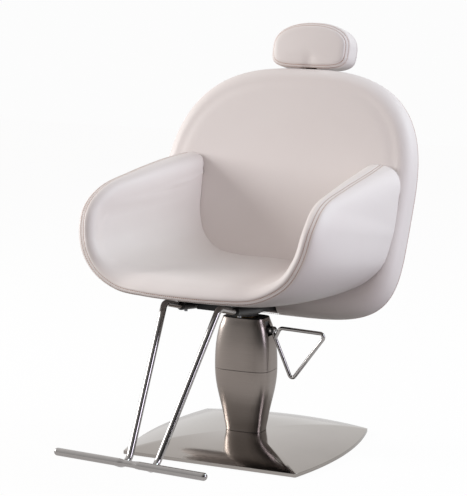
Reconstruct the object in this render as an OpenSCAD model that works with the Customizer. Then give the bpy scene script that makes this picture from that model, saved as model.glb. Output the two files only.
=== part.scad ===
// Threading chair: an upholstered bucket seat with a reclining back and an adjustable headrest,
// on a hydraulic column that stands on a domed steel base. Millimetres, +Z up, the sitter faces -Y.
// The origin is on the column's axis, on the floor.

/* [Base] */
// Width of the base across its front corners
base_w = 498; // [460:2:540]
// Distance from the column's axis to the front edge of the base
base_front = 232; // [215:1:250]
// Distance from the column's axis to the rear corners of the base
base_rear = 258; // [240:1:280]
// Outward bow of each side edge
side_bow = 33; // [20:1:45]
// Outward bow of the rear edge
rear_bow = 50; // [30:1:60]
// Rise of the polished dome above its rim
dome_rise = 32.5; // [28:0.5:40]
// Thickness of the steel base plate
plate_t = 8; // [6:0.5:12]
// Thickness of the polished cover sheet
sheet_t = 1.5; // [1.2:0.1:2.5]
// Thickness of the rubber floor pads
floor_pad_t = 2; // [1.5:0.5:4]
// Turn of the base and the column covers under the seat, in degrees
base_turn = 4.5; // [0:0.5:12]

/* [Column] */
// Width of the column covers at their widest
column_w = 162; // [150:2:176]
// Depth of the column covers at their widest
column_d = 106; // [98:2:116]
// Height of the lower column cover
lower_cover_h = 171; // [160:1:190]
// Height of the upper column cover
upper_cover_h = 140; // [132:1:160]
// Wall of the column covers
cover_wall = 2.5; // [2:0.25:3]
// Outer diameter of the pump cylinder
cylinder_od = 56; // [52:1:58]
// Diameter of the lifting ram
ram_d = 38; // [34:1:40]
// Upward travel of the seat
lift_travel = 120; // [80:5:120]

/* [Pump lever] */
// Diameter of the lever rod
lever_rod_d = 10; // [8:0.5:11]
// Distance from the column's axis to the outer end of the foot loop
lever_reach = 243; // [225:1:260]
// Height of the foot loop
lever_loop_h = 138; // [120:1:145]

/* [Seat tub] */
// Width of the tub over its arms
tub_w = 752; // [700:4:800]
// Reach of the front lip ahead of the column's axis
tub_reach = 344; // [325:1:365]
// Depth of the seat from the front lip to the backrest
seat_d = 441; // [425:1:455]
// Thickness of the upholstered tub under the sitter
seat_thick = 98; // [90:1:110]
// Rise of the arms above the seat
arm_rise = 261; // [230:1:280]
// Depth of the hollow of the seat
seat_dish = 10; // [0:1:16]
// Width of the rolled edge at the front lip
roll_w = 42; // [36:1:46]
// Length of the rolled edge at the front lip
roll_l = 112; // [90:1:130]

/* [Footrest] */
// Diameter of the footrest legs
leg_d = 17.5; // [15:0.5:19]
// Spacing of the legs at the seat
leg_top_pitch = 162; // [156:1:166]
// Spacing of the legs at the foot bar
leg_foot_pitch = 78; // [74:1:104]
// Reach of the foot bar ahead of the column's axis
foot_reach = 568; // [540:1:590]
// Height of the middle of the foot bar
foot_h = 89; // [80:1:120]
// Length of the foot bar from tip to tip
foot_bar_l = 444; // [400:2:470]
// Diameter of the foot bar's wings
wing_d = 20; // [17:0.5:22]

/* [Backrest] */
// Width of the backrest
back_w = 776; // [730:2:800]
// Height of the backrest's pad above the seat, along its lean
back_up = 545; // [500:1:570]
// Depth of the backrest's pad below the seat, along its lean
back_down = 144; // [136:1:146]
// Thickness of the backrest's pad
back_t = 56; // [50:1:62]
// Depth of the hollow of the backrest
back_dish = 10; // [0:1:16]
// Lean of the backrest from upright, in degrees
back_lean = 21.3; // [18:0.1:23]
// Largest recline from the upright position, in degrees
recline_travel = 35; // [20:1:35]

/* [Headrest] */
// Width of the headrest
head_w = 240; // [220:2:270]
// Height of the headrest above its pivot
head_up = 84; // [76:1:96]
// Depth of the headrest below its pivot
head_down = 46; // [42:1:48]
// Thickness of the headrest
head_t = 72; // [66:1:80]
// Lean of the headrest from upright, in degrees
head_lean = 14; // [8:1:20]
// Upward travel of the headrest
head_travel = 80; // [40:5:90]

/* [Hidden] */
$fn = 48;

// Clearances
running_gap = 0.05;      // round running fits, on the radius
press_gap = 0.02;        // held fits, on the radius
seat_gap = 0.3;          // between pieces that rest on each other
slide_gap = 0.3;         // around flat sliding pieces
bend_lap = 0.3;          // how far a rod runs into its bend
bend_swell = 0.06;       // extra diameter of the bends
over = 1;                // overrun of every cut

// Heights, stacked from the floor
plate_z = floor_pad_t;
flange_z = plate_z + plate_t;
rim_z = flange_z + sheet_t;
dome_z = rim_z + dome_rise;
seam_z = dome_z + lower_cover_h;
column_z = seam_z + upper_cover_h;
washer_t = 4;
hub_h = 49;
hub_z = column_z + washer_t;
frame_z = hub_z + hub_h;
under_drop = 6;
shell_z = frame_z - under_drop;
seat_h = shell_z + seat_thick;
tub_h = seat_thick + arm_rise;
back_y = seat_d - tub_reach;

// Colours
leatherette = [0.87, 0.84, 0.83];
chrome_tone = [0.78, 0.78, 0.8];
nickel_tone = [0.5, 0.48, 0.46];
black_tone = [0.1, 0.1, 0.1];
steel_tone = [0.55, 0.56, 0.58];
rubber_tone = [0.06, 0.06, 0.06];
ply_tone = [0.72, 0.56, 0.38];
bronze_tone = [0.66, 0.5, 0.28];

// General functions
function mix(a, b, t) = a + (b - a) * t;
function unit(v) = v / norm(v);
function bezier(a, b, c, d, t) =
    a * pow(1 - t, 3) + b * 3 * t * pow(1 - t, 2) + c * 3 * t * t * (1 - t) + d * pow(t, 3);
function power(x, p) = sign(x) * pow(abs(x), p);

// Smooth curve through a list of values, at place u along it
function along(list, u) =
    let (last = len(list) - 1, i = min(floor(u), last - 1), t = u - i)
    let (a = list[max(i - 1, 0)], b = list[i], c = list[i + 1], d = list[min(i + 2, last)])
    (b * 2 + (c - a) * t + (a * 2 - b * 5 + c * 4 - d) * t * t
        + (b * 3 - a - c * 3 + d) * t * t * t) / 2;

// Triangles between ring i and ring k of n points: turned cuts each quad along its other diagonal
function band_faces(i, k, n, turned = false) =
    [for (j = [0 : n - 1])
        let (a = i * n + j, b = i * n + (j + 1) % n, c = k * n + j, d = k * n + (j + 1) % n)
        each turned ? [[a, c, d], [a, d, b]] : [[a, c, b], [b, c, d]]];

// A closed ring-shaped skin: the last ring joins the first
module ring_skin(rings) {
    n = len(rings[0]);
    m = len(rings);
    polyhedron(
        points = [for (ring = rings) each ring],
        faces = [for (i = [0 : m - 1]) each band_faces((i + 1) % m, i, n)],
        convexity = 8
    );
}

// A closed body: rings between a first and a last middle point
module capped_skin(first, rings, last, turned = false) {
    n = len(rings[0]);
    m = len(rings);
    polyhedron(
        points = concat([for (ring = rings) each ring], [first, last]),
        faces = concat(
            [for (i = [0 : m - 2]) each band_faces(i, i + 1, n, turned)],
            [for (j = [0 : n - 1]) [m * n, j, (j + 1) % n]],
            [for (j = [0 : n - 1]) [m * n + 1, (m - 1) * n + (j + 1) % n, (m - 1) * n + j]]
        ),
        convexity = 8
    );
}

// A straight round rod between two points
module rod(a, b, d) {
    v = b - a;
    translate(a)
        rotate([0, acos(v.z / norm(v)), atan2(v.y, v.x)])
            cylinder(h = norm(v), d = d);
}

// A rod along a list of points, with round bends at the inner ones. Each bend is a hair thicker
// than the rods, which run a little way into it.
module bent_rod(path, bends, d) {
    last = len(path) - 1;
    cuts = [for (i = [0 : last])
        (i == 0 || i == last) ? 0
            : let (u = unit(path[i - 1] - path[i]), v = unit(path[i + 1] - path[i]))
              bends[i - 1] / tan(acos(u * v) / 2) - bend_lap];
    for (i = [0 : last - 1]) {
        way = unit(path[i + 1] - path[i]);
        rod(path[i] + way * cuts[i], path[i + 1] - way * cuts[i + 1], d);
    }
    for (i = [1 : last - 1]) {
        u = unit(path[i - 1] - path[i]);
        v = unit(path[i + 1] - path[i]);
        centre = path[i] + unit(u + v) * bends[i - 1] / sin(acos(u * v) / 2);
        ex = unit(path[i] + u * (cuts[i] + bend_lap) - centre);
        ey = -u;
        ez = cross(ex, ey);
        multmatrix([
            [ex.x, ey.x, ez.x, centre.x],
            [ex.y, ey.y, ez.y, centre.y],
            [ex.z, ey.z, ez.z, centre.z],
            [0, 0, 0, 1]
        ])
            rotate_extrude(angle = 180 - acos(u * v))
                translate([bends[i - 1], 0])
                    circle(d = d + bend_swell);
    }
}

// A flat plate with four round corners, centred in X and Y
module round_plate(w, d, t, r) {
    linear_extrude(t) {
        square([w - 2 * r, d], center = true);
        square([w, d - 2 * r], center = true);
        for (x = [-1, 1], y = [-1, 1])
            translate([x * (w / 2 - r), y * (d / 2 - r)])
                circle(r);
    }
}

// A socket-head screw along +Z, its head's underside at the origin and its shank below
module screw(d, shank_l) {
    head_d = 1.6 * d;
    difference() {
        union() {
            cylinder(h = 0.7 * d, d = head_d);
            translate([0, 0, -shank_l])
                cylinder(h = shank_l + over / 2, d = d);
        }
        translate([0, 0, 0.35 * d])
            cylinder(h = d, d = 0.9 * d, $fn = 6);
    }
}

// Base

// Radius of an arc that bows by b over a chord of c
function bow_radius(c, b) = (c * c / 4 + b * b) / (2 * b);

// Distance from the column's axis to the edge of the base in direction a
function line_reach(a, n, d) = let (f = cos(a) * n.x + sin(a) * n.y) f > 0 ? d / f : base_w * 2;
function arc_reach(a, c, r) =
    let (b = cos(a) * c.x + sin(a) * c.y) b + sqrt(b * b - c * c + r * r);
side_r = bow_radius(base_front + base_rear, side_bow);
rear_r = bow_radius(base_w, rear_bow);
side_c = [base_w / 2 + side_bow - side_r, (base_rear - base_front) / 2];
rear_c = [0, base_rear + rear_bow - rear_r];
function base_reach(a) = min(
    line_reach(a, [0, -1], base_front),
    arc_reach(a, side_c, side_r),
    arc_reach(a, [-side_c.x, side_c.y], side_r),
    arc_reach(a, rear_c, rear_r)
);
corner_angles = [
    atan2(-base_front, base_w / 2), atan2(base_rear, base_w / 2),
    180 - atan2(base_rear, base_w / 2), 180 - atan2(-base_front, base_w / 2), 360 + atan2(-base_front, base_w / 2)
];
edge_steps = 16;
base_angles = [for (i = [0 : 3], j = [0 : edge_steps - 1])
    mix(corner_angles[i], corner_angles[i + 1], j / edge_steps)];
function base_ring(share, inset, z) =
    [for (a = base_angles)
        let (r = mix(cover_hole_r, base_reach(a), share) - inset)
        [r * cos(a), r * sin(a), z]];

flange_d = 150;
flange_t = 9;
flange_bolt_pcd = 116;
flange_bolt_d = 10;
floor_pad_d = 36;
skirt_gap = 0.5;
dome_shares = [0, 0.18, 0.34, 0.5, 0.65, 0.78, 0.89, 0.96, 1];
cover_hole_r = 30;
dome_power = 2.4;

module on_base() {
    rotate(base_turn)
        children();
}

module around(count, pcd) {
    for (i = [0 : count - 1])
        rotate((i + 0.5) * 360 / count)
            translate([pcd / 2, 0, 0])
                children();
}

module at_pads() {
    inset = floor_pad_d;
    for (x = [-1, 1], y = [inset - base_front, base_rear - inset])
        translate([x * (base_w / 2 - inset), y, 0])
            children();
}

module floor_pads() {
    color(rubber_tone)
        on_base() {
            at_pads()
                cylinder(h = floor_pad_t, d = floor_pad_d);
            cylinder(h = floor_pad_t, d = 2 * floor_pad_d);
        }
}

module base_plate() {
    color(steel_tone)
        on_base()
            difference() {
                translate([0, 0, plate_z])
                    linear_extrude(plate_t)
                        intersection() {
                            inset = sheet_t + skirt_gap;
                            translate([-base_w, inset - base_front])
                                square([2 * base_w, base_front + base_rear + rear_bow]);
                            for_side(1, inset);
                            for_side(-1, inset);
                            translate(rear_c)
                                circle(rear_r - inset, $fn = 160);
                        }
                around(4, flange_bolt_pcd)
                    translate([0, 0, plate_z - over])
                        cylinder(h = plate_t + 2 * over, d = flange_bolt_d + 2 * press_gap);
            }
}

module for_side(s, inset) {
    translate([s * side_c.x, side_c.y])
        circle(side_r - inset, $fn = 160);
}

module base_cover() {
    function dome(share) = dome_rise * (1 - pow(share, dome_power));
    skirt_z = plate_z + seat_gap;
    color(chrome_tone)
        on_base()
            ring_skin(concat(
                [for (s = dome_shares) base_ring(s, 0, rim_z + dome(s))],
                [base_ring(1, 0, skirt_z), base_ring(1, sheet_t, skirt_z)],
                [for (i = [len(dome_shares) - 1 : -1 : 0])
                    let (s = dome_shares[i])
                    base_ring(s, i == len(dome_shares) - 1 ? sheet_t : 0, rim_z - sheet_t + dome(s))]
            ));
}

module column_flange() {
    color(black_tone)
        on_base()
            difference() {
                translate([0, 0, flange_z])
                    cylinder(h = flange_t, d = flange_d);
                around(4, flange_bolt_pcd)
                    translate([0, 0, flange_z - over])
                        cylinder(h = flange_t + 2 * over, d = flange_bolt_d + 2 * press_gap);
            }
}

module flange_bolts() {
    color(steel_tone)
        on_base()
            around(4, flange_bolt_pcd)
                translate([0, 0, flange_z + flange_t])
                    screw(flange_bolt_d, flange_t + plate_t);
}

// Column

cylinder_wall = 5;
cylinder_h = 262;
bush_h = 30;
cylinder_z = flange_z + flange_t;
cylinder_top = cylinder_z + cylinder_h;
bore_d = cylinder_od - 2 * cylinder_wall;
piston_h = 22;
ram_clear = 40;
ram_z = cylinder_z + ram_clear;
spindle_d = 34;
spindle_h = 36;
spindle_z = hub_z + spindle_h;
cap_t = 9;
cap_z = column_z - cap_t;

module pump_cylinder() {
    color(steel_tone)
        difference() {
            translate([0, 0, cylinder_z])
                cylinder(h = cylinder_h, d = cylinder_od);
            translate([0, 0, cylinder_z + cylinder_wall])
                cylinder(h = cylinder_h, d = bore_d);
        }
}

module guide_bush() {
    color(bronze_tone)
        translate([0, 0, cylinder_top - bush_h])
            difference() {
                cylinder(h = bush_h, d = bore_d - 2 * press_gap);
                translate([0, 0, -over])
                    cylinder(h = bush_h + 2 * over, d = ram_d + 2 * running_gap);
            }
}

module piston() {
    groove = 2;
    color(black_tone)
        translate([0, 0, ram_z - piston_h])
            difference() {
                cylinder(h = piston_h, d = bore_d - 2 * running_gap);
                translate([0, 0, piston_h / 2 - groove / 2])
                    rotate_extrude()
                        translate([bore_d / 2 - groove, 0])
                            square([2 * groove, groove]);
            }
}

module ram() {
    color(chrome_tone) {
        translate([0, 0, ram_z])
            cylinder(h = column_z - ram_z, d = ram_d);
        translate([0, 0, column_z - over])
            cylinder(h = spindle_z - column_z + over, d = spindle_d);
    }
}

// Widths of the column covers up their height, as shares of the widest
lower_shares = [0.65, 0.705, 0.77, 0.85, 0.925, 0.978, 1];
upper_shares = [1, 0.998, 0.985, 0.958, 0.91, 0.842, 0.74];
column_power = 2 / 3.8;
column_points = 40;
function column_ring(share, inset, z) =
    [for (j = [0 : column_points - 1])
        let (a = 360 * j / column_points)
        [(column_w / 2 * share - inset) * power(cos(a), column_power),
         (column_d / 2 * share - inset) * power(sin(a), column_power), z]];
function cover_rings(shares, z, h, inset) =
    let (last = len(shares) - 1, k = 2 * last)
    [for (i = [0 : k]) column_ring(along(shares, last * i / k), inset, z + h * i / k)];

module cover_shell(shares, z, h) {
    inner = cover_rings(shares, z, h, cover_wall);
    ring_skin(concat(
        [for (i = [len(inner) - 1 : -1 : 0]) cover_rings(shares, z, h, 0)[i]],
        inner
    ));
}

module lower_cover() {
    color(nickel_tone)
        on_base()
            cover_shell(lower_shares, dome_z + seat_gap, lower_cover_h - 2 * seat_gap);
}

module upper_cover() {
    slot_low = lever_pivot_z - 1.1 * lever_boss_d;
    color(nickel_tone)
        difference() {
            on_base()
                cover_shell(upper_shares, seam_z + seat_gap, upper_cover_h - seat_gap);
            translate([0, -bracket_w / 2 - slide_gap, slot_low])
                cube([column_w, bracket_w + 2 * slide_gap, cap_z + slide_gap - slot_low]);
        }
}

sleeve_w = 106;
sleeve_d = 66;
sleeve_r = 14;
sleeve_wall = 2;
collar_t = 6;
sleeve_depth = 70;
sleeve_play = 3;
collar_z = seam_z - sleeve_depth;
sleeve_top = cap_z - sleeve_play;

module sleeve_collar() {
    color(black_tone)
        on_base()
            translate([0, 0, collar_z])
                difference() {
                    round_plate(sleeve_w, sleeve_d, collar_t, sleeve_r);
                    translate([0, 0, -over])
                        cylinder(h = collar_t + 2 * over, d = cylinder_od + 2 * press_gap);
                }
}

module inner_sleeve() {
    h = sleeve_top - collar_z - collar_t;
    color(black_tone)
        on_base()
            translate([0, 0, collar_z + collar_t])
                difference() {
                    round_plate(sleeve_w, sleeve_d, h, sleeve_r);
                    translate([0, 0, -over])
                        round_plate(sleeve_w - 2 * sleeve_wall, sleeve_d - 2 * sleeve_wall,
                            h + 2 * over, sleeve_r - sleeve_wall);
                }
}

module top_cap() {
    share = upper_shares[len(upper_shares) - 1];
    color(black_tone)
        difference() {
            on_base()
                translate([0, 0, cap_z])
                    linear_extrude(cap_t)
                        polygon([for (p = column_ring(share, cover_wall + seat_gap, 0)) [p.x, p.y]]);
            translate([0, 0, cap_z - over])
                cylinder(h = cap_t + 2 * over, d = ram_d + 2 * press_gap);
        }
}

washer_inset = 2;

module thrust_washer() {
    color(bronze_tone)
        translate([0, 0, column_z])
            difference() {
                cylinder(h = washer_t, d = hub_d - 2 * washer_inset);
                translate([0, 0, -over])
                    cylinder(h = washer_t + 2 * over, d = spindle_d + 2 * running_gap);
            }
}

// Pump lever

lever_pivot_x = 80;
lever_drop = 30;
lever_pivot_z = column_z - lever_drop;
lever_boss_d = 15;
lever_pin_d = 6;
bracket_w = 24;
eye_w = 11;
lever_eye_d = 14;
loop_drop = 22;
loop_fall = 2;
loop_bends = [9, 10, 13];
loop_top_z = column_z - loop_drop;
loop_foot_x = 139;
loop_inner_x = 104;
weld_share = 0.16;
root_share = 0.04;
weld_ball_share = 1.15;
ear_t = (bracket_w - eye_w) / 2 - slide_gap;
bracket_foot_t = 2.5;
bracket_gap = 3;
bracket_x = sleeve_w / 2 + bracket_gap;

module lever_bracket() {
    color(black_tone)
        difference() {
            union() {
                for (s = [-1, 1])
                    translate([lever_pivot_x, s * (bracket_w / 2 - ear_t / 2), lever_pivot_z])
                        rotate([90, 0, 0])
                            cylinder(h = ear_t, d = lever_boss_d, center = true);
                for (s = [-1, 1])
                    translate([bracket_x, s * (bracket_w / 2 - ear_t / 2) - ear_t / 2,
                        lever_pivot_z - lever_boss_d / 2])
                        cube([lever_pivot_x - bracket_x, ear_t, lever_boss_d]);
                translate([bracket_x, -bracket_w / 2, lever_pivot_z - lever_boss_d / 2])
                    cube([ear_t, bracket_w, cap_z - lever_pivot_z + lever_boss_d / 2]);
                translate([sleeve_w / 4, -bracket_w / 2, cap_z - bracket_foot_t])
                    cube([bracket_x + ear_t - sleeve_w / 4, bracket_w, bracket_foot_t]);
            }
            translate([lever_pivot_x, 0, lever_pivot_z])
                rotate([90, 0, 0])
                    cylinder(h = 2 * bracket_w, d = lever_pin_d + 2 * press_gap, center = true);
        }
}

module lever_pin() {
    color(chrome_tone)
        translate([lever_pivot_x, bracket_w / 2, lever_pivot_z])
            rotate([90, 0, 0])
                cylinder(h = bracket_w, d = lever_pin_d);
}

module pump_lever() {
    foot_z = loop_top_z - lever_loop_h;
    pivot = [lever_pivot_x, 0, lever_pivot_z];
    foot = [loop_foot_x, 0, foot_z];
    outer = [lever_reach, 0, loop_top_z - loop_fall];
    inner = [loop_inner_x, 0, loop_top_z];
    weld = mix(pivot, foot, weld_share);
    color(chrome_tone)
        difference() {
            union() {
                bent_rod([mix(pivot, foot, root_share), foot, outer, inner, weld], loop_bends, lever_rod_d);
                translate(weld)
                    sphere(d = weld_ball_share * lever_rod_d);
                translate(pivot)
                    rotate([90, 0, 0])
                        cylinder(h = eye_w, d = lever_eye_d, center = true);
            }
            translate(pivot)
                rotate([90, 0, 0])
                    cylinder(h = 2 * bracket_w, d = lever_pin_d + 2 * running_gap, center = true);
        }
}

// Seat frame

rake = 6.5;
frame_t = 6;
frame_w = 200;
frame_front = 190;
frame_rear = 30;
hub_d = 64;
frame_bolt_d = 8;
frame_bolt_x = 60;
bolt_hold = 12;
bolt_play = 2;
frame_room = 3;
frame_bolt_ys = [-168, 12];
flange_h = 26;
flange_y = -142;
socket_d = 27;
socket_l = 122;
socket_y = -198;
socket_axis_z = -frame_t - socket_d / 2;
flange_gap = 2;
flange_w = leg_top_pitch - socket_d - 2 * flange_gap;

// The seat frame's own axes: its plate's top face is at zero and falls towards the rear
module on_frame() {
    translate([0, 0, frame_z])
        rotate([-rake, 0, 0])
            children();
}

module at_frame_bolts() {
    for (x = [-1, 1], y = frame_bolt_ys)
        translate([x * frame_bolt_x, y, 0])
            children();
}

module seat_frame() {
    color(black_tone)
        difference() {
            union() {
                on_frame() {
                    translate([-frame_w / 2, -frame_front, -frame_t])
                        cube([frame_w, frame_front + frame_rear, frame_t]);
                    translate([-flange_w / 2, flange_y, -frame_t - flange_h])
                        cube([flange_w, frame_t, flange_h + over]);
                }
                intersection() {
                    translate([0, 0, hub_z])
                        cylinder(h = 2 * hub_h, d = hub_d);
                    on_frame()
                        translate([-hub_d, -hub_d, -2 * hub_h])
                            cube([2 * hub_d, 2 * hub_d, 2 * hub_h - frame_t / 2]);
                }
            }
            translate([0, 0, hub_z - over])
                cylinder(h = spindle_z - hub_z + 2 * over, d = spindle_d + 2 * running_gap);
            on_frame()
                at_frame_bolts()
                    translate([0, 0, -frame_t - over])
                        cylinder(h = frame_t + 2 * over, d = frame_bolt_d + 2 * press_gap);
        }
}

module frame_bolts() {
    color(steel_tone)
        on_frame()
            at_frame_bolts()
                translate([0, 0, -frame_t])
                    rotate([180, 0, 0])
                        screw(frame_bolt_d, frame_t + bolt_hold);
}

socket_screw_d = 6;
socket_screw_y = 26;
socket_floor = 8;
leg_play = 2;

module at_sockets() {
    on_frame()
        for (s = [-1, 1])
            translate([s * leg_top_pitch / 2, 0, socket_axis_z])
                children();
}

module footrest_sockets() {
    color(black_tone)
        at_sockets()
            difference() {
                translate([0, socket_y, 0])
                    rotate([-90, 0, 0])
                        cylinder(h = socket_l, d = socket_d);
                translate([0, socket_y - over, 0])
                    rotate([-90, 0, 0])
                        cylinder(h = socket_l - socket_floor + over, d = leg_d + 2 * press_gap);
                translate([0, socket_y + socket_screw_y, -socket_d])
                    cylinder(h = socket_d, d = socket_screw_d + 2 * press_gap);
            }
}

module socket_screws() {
    color(steel_tone)
        at_sockets()
            translate([0, socket_y + socket_screw_y, -socket_d / 2])
                rotate([180, 0, 0])
                    screw(socket_screw_d, (socket_d - leg_d) / 2 - seat_gap);
}

// Footrest

// A point of the seat frame's own axes as a point of the chair
function from_frame(p) = [
    p.x,
    p.y * cos(rake) + p.z * sin(rake),
    frame_z - p.y * sin(rake) + p.z * cos(rake)
];
leg_bend = 18;
leg_ease = 60;
foot_bend = 34;
leg_splay = 13;
foot_back = 52;
foot_drop = 25;
leg_turn_y = -277.8;
leg_turn_z = -8.5;
leg_ease_y = -208;
bar_centre = [0, -foot_reach, foot_h];
function leg_path(s) = [
    from_frame([s * leg_top_pitch / 2, socket_y + socket_l - socket_floor - leg_play, socket_axis_z]),
    from_frame([s * leg_top_pitch / 2, leg_ease_y, socket_axis_z]),
    from_frame([s * leg_top_pitch / 2, leg_turn_y, leg_turn_z]),
    [s * leg_foot_pitch / 2, foot_back - foot_reach, foot_h - foot_drop],
    [s * (leg_foot_pitch / 2 + leg_splay), -foot_reach, foot_h]
];

module footrest_leg(s) {
    color(chrome_tone)
        difference() {
            bent_rod(leg_path(s), [leg_ease, leg_bend, foot_bend], leg_d);
            translate(bar_centre)
                cross_bar(foot_bar_l, wing_d + 2 * press_gap);
        }
}

module footrest_leg_left() {
    footrest_leg(1);
}

module footrest_leg_right() {
    footrest_leg(-1);
}

bar_waist_d = 16.5;
bar_waist_w = 22;
bar_swell = 20;
wing_steps = 6;
tip_step = 10;

module foot_bar() {
    end_r = wing_d / 2;
    wing = [for (i = [0 : wing_steps])
        let (u = i / wing_steps)
        [mix(bar_waist_d, wing_d, (1 - cos(180 * u)) / 2) / 2, bar_waist_w / 2 + bar_swell * u]];
    tip = [for (a = [tip_step : tip_step : 90]) [end_r * cos(a), foot_bar_l / 2 - end_r + end_r * sin(a)]];
    half = concat(wing, [[end_r, foot_bar_l / 2 - end_r]], tip);
    last = len(half) - 1;
    color(chrome_tone)
        translate(bar_centre)
            rotate([0, 90, 0])
                rotate_extrude()
                    polygon(concat(
                        [for (i = [0 : last - 1]) half[i]],
                        [[0, foot_bar_l / 2], [0, -foot_bar_l / 2]],
                        [for (i = [last - 1 : -1 : 0]) [half[i].x, -half[i].y]]
                    ));
}

// Seat tub: a front seam runs from the middle of the lip up to the rear of each arm.
// The shares give places along it, of half the tub's width, its reach and its height.

seam_x_shares = [0, 0.293, 0.545, 0.75, 0.856, 0.891, 0.88, 0.864, 0.84, 0.798];
seam_y_shares = [-1, -0.98, -0.936, -0.895, -0.855, -0.767, -0.552, -0.174, 0.262, 0.564];
seam_z_shares = [0.156, 0.159, 0.182, 0.296, 0.475, 0.693, 0.838, 0.908, 0.964, 0.992];
inner_x_shares = [0, 0.213, 0.4, 0.54, 0.612, 0.63, 0.638, 0.643, 0.646, 0.648];
inner_z_shares = [0.274, 0.274, 0.304, 0.408, 0.57, 0.69, 0.752, 0.797, 0.825, 0.847];
outer_x_shares = [0, 0.319, 0.617, 0.811, 0.941, 0.98, 0.985, 0.982, 0.976, 0.97];
outer_z_shares = [0, 0.006, 0.073, 0.154, 0.293, 0.482, 0.579, 0.663, 0.73, 0.788];
wall_angles = [0, 2, 20, 52, 76, 88, 90, 90, 90, 90];
nose_w_shares = [1, 1, 0.98, 0.88, 0.82, 0.86, 1, 1.24, 1.42, 1.36];
nose_l_shares = [1, 0.95, 0.8, 0.5, 0.42, 0.4, 0.37, 0.38, 0.4, 0.4];
lip_shares = [0.14, 0.16, 0.26, 0.44, 0.6, 0.52, 0.42, 0.46, 0.5, 0.58];
belly_shares = [0.06, 0.07, 0.09, 0.12, 0.12, 0.08, 0.05, 0.05, 0.06, 0.08];
dish_shares = [1, 1, 0.8, 0.3, -0.3, -0.6, -0.6, -0.6, -0.6, -0.6];
lip = 100;
nose_out = 8;
pad_share = 0.75;
pad_taper = 2.2;
ledge_share = 0.35;
ledge_fall_share = 0.3;
back_gap = 1.2;
back_r = 45;

tub_loops = 22;
near = 0.05;
tub_last = len(seam_x_shares) - 1;

// Front face of the backrest: its depth at a place of the leaning plane, where it is hollow
back_top_h = 384;
back_mid_v = back_up - back_top_h;
back_low_h = back_mid_v + back_down;
back_top_power = 2.8;
back_low_power = 4.9;
hollow_share = 0.88;
function back_norm(u, v) =
    let (high = v > back_mid_v, n = high ? back_top_power : back_low_power)
    let (a = abs(u) / (back_w / 2), b = abs(v - back_mid_v) / (high ? back_top_h : back_low_h))
    pow(pow(a, n) + pow(b, n), 1 / n);
function back_hollow(norm_share) = back_dish * max(0, 1 - pow(norm_share / hollow_share, 2));
function back_face_y(x, z) =
    let (v = (z - seat_h) / cos(back_lean))
    back_y + (z - seat_h) * tan(back_lean) + (back_hollow(back_norm(x, v)) - back_gap) / cos(back_lean);

function tub_x(shares, t) = along(shares, t) * tub_w / 2;
function tub_z(shares, t) = shell_z + along(shares, t) * tub_h;
function rear_point(x, z) = [x, back_face_y(x, z), z];
function seam_point(t) = [tub_x(seam_x_shares, t), along(seam_y_shares, t) * tub_reach, tub_z(seam_z_shares, t)];
function seam_way(t) = t < near ? [1, 0, 0]
    : unit(seam_point(min(t + near, tub_last)) - seam_point(t - near));
function wall_out(t) = let (a = along(wall_angles, t)) [sin(a), 0, -cos(a)];

// Direction in the wall, square to the seam: at the arm's rear it turns into the backrest's face
lean_loops = 2;
function rim_way(t) =
    let (turn = max(0, (t - tub_last) / lean_loops + 1), free = unit(cross(wall_out(t), seam_way(t))))
    unit(mix(free, [0, sin(back_lean), cos(back_lean)], turn * turn * (3 - 2 * turn)));
function before_back(p) = [p.x, min(p.y, back_face_y(p.x, p.z)), p.z];

inner_steps = 8;
nose_steps = 5;
outer_steps = 8;

// Inner face from the rear edge to the start of the rolled edge
function inner_path(t) =
    let (rear = rear_point(tub_x(inner_x_shares, t), tub_z(inner_z_shares, t)))
    let (out = wall_out(t), front = rim_way(t))
    let (start = seam_point(t) - out * along(nose_w_shares, t) * roll_w - front * along(nose_l_shares, t) * roll_l)
    let (a = rear + (start - rear) / 3 + out * seat_dish * along(dish_shares, t))
    let (b = start + (rear - start) * ledge_share - front * ledge_fall_share * along(nose_l_shares, t) * roll_l)
    [for (i = [0 : inner_steps]) before_back(bezier(rear, a, b, start, i / inner_steps))];

// Rolled edge, from the inner face over the rim to the seam
function nose_path(t) =
    let (out = wall_out(t), front = rim_way(t), seam = seam_point(t))
    let (edge = seam - out * along(nose_w_shares, t) * roll_w)
    let (start = edge - front * along(nose_l_shares, t) * roll_l)
    let (top = edge + front * nose_out)
    [for (i = [1 : nose_steps])
        let (u = i / nose_steps)
        before_back(start * pow(1 - u, 2) + top * 2 * u * (1 - u) + seam * pow(u, 2))];

// Outer face from the seam to the rear edge
function outer_path(t) =
    let (rear = rear_point(tub_x(outer_x_shares, t), tub_z(outer_z_shares, t)))
    let (out = wall_out(t), seam = seam_point(t))
    let (a = seam + out * along(lip_shares, t) * lip)
    let (b = rear + (a - rear) / 3 + out * along(belly_shares, t) * lip)
    [for (i = [0 : outer_steps]) before_back(bezier(seam, a, b, rear, i / outer_steps))];

// Face between the pad and the shell, from the seam to the rear edge
function middle_path(t, inset) =
    let (inner = inner_path(t), outer = outer_path(t), seam = seam_point(t))
    [for (i = [1 : outer_steps])
        let (u = i / outer_steps, a = outer[i], b = inner[inner_steps - i])
        let (share = (1 - pad_share) * min(1, pad_taper * u))
        a + (b - a) * share + unit(b - a) * inset];

function mirror_points(points, side) = [for (p = points) [side * p.x, p.y, p.z]];
function tub_rings(pad) = [for (i = [-tub_loops : tub_loops])
    let (t = abs(i) * tub_last / tub_loops)
    mirror_points(
        pad ? concat(inner_path(t), nose_path(t), middle_path(t, seat_gap))
            : let (m = middle_path(t, 0))
              concat(outer_path(t), [for (k = [outer_steps - 1 : -1 : 0]) m[k]]),
        i < 0 ? -1 : 1
    )];
function middle_of(points) = [for (p = points) 1] * points / len(points);

module tub_body(pad) {
    rings = tub_rings(pad);
    capped_skin(middle_of(rings[0]), rings, middle_of(rings[len(rings) - 1]), !pad);
}

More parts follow.
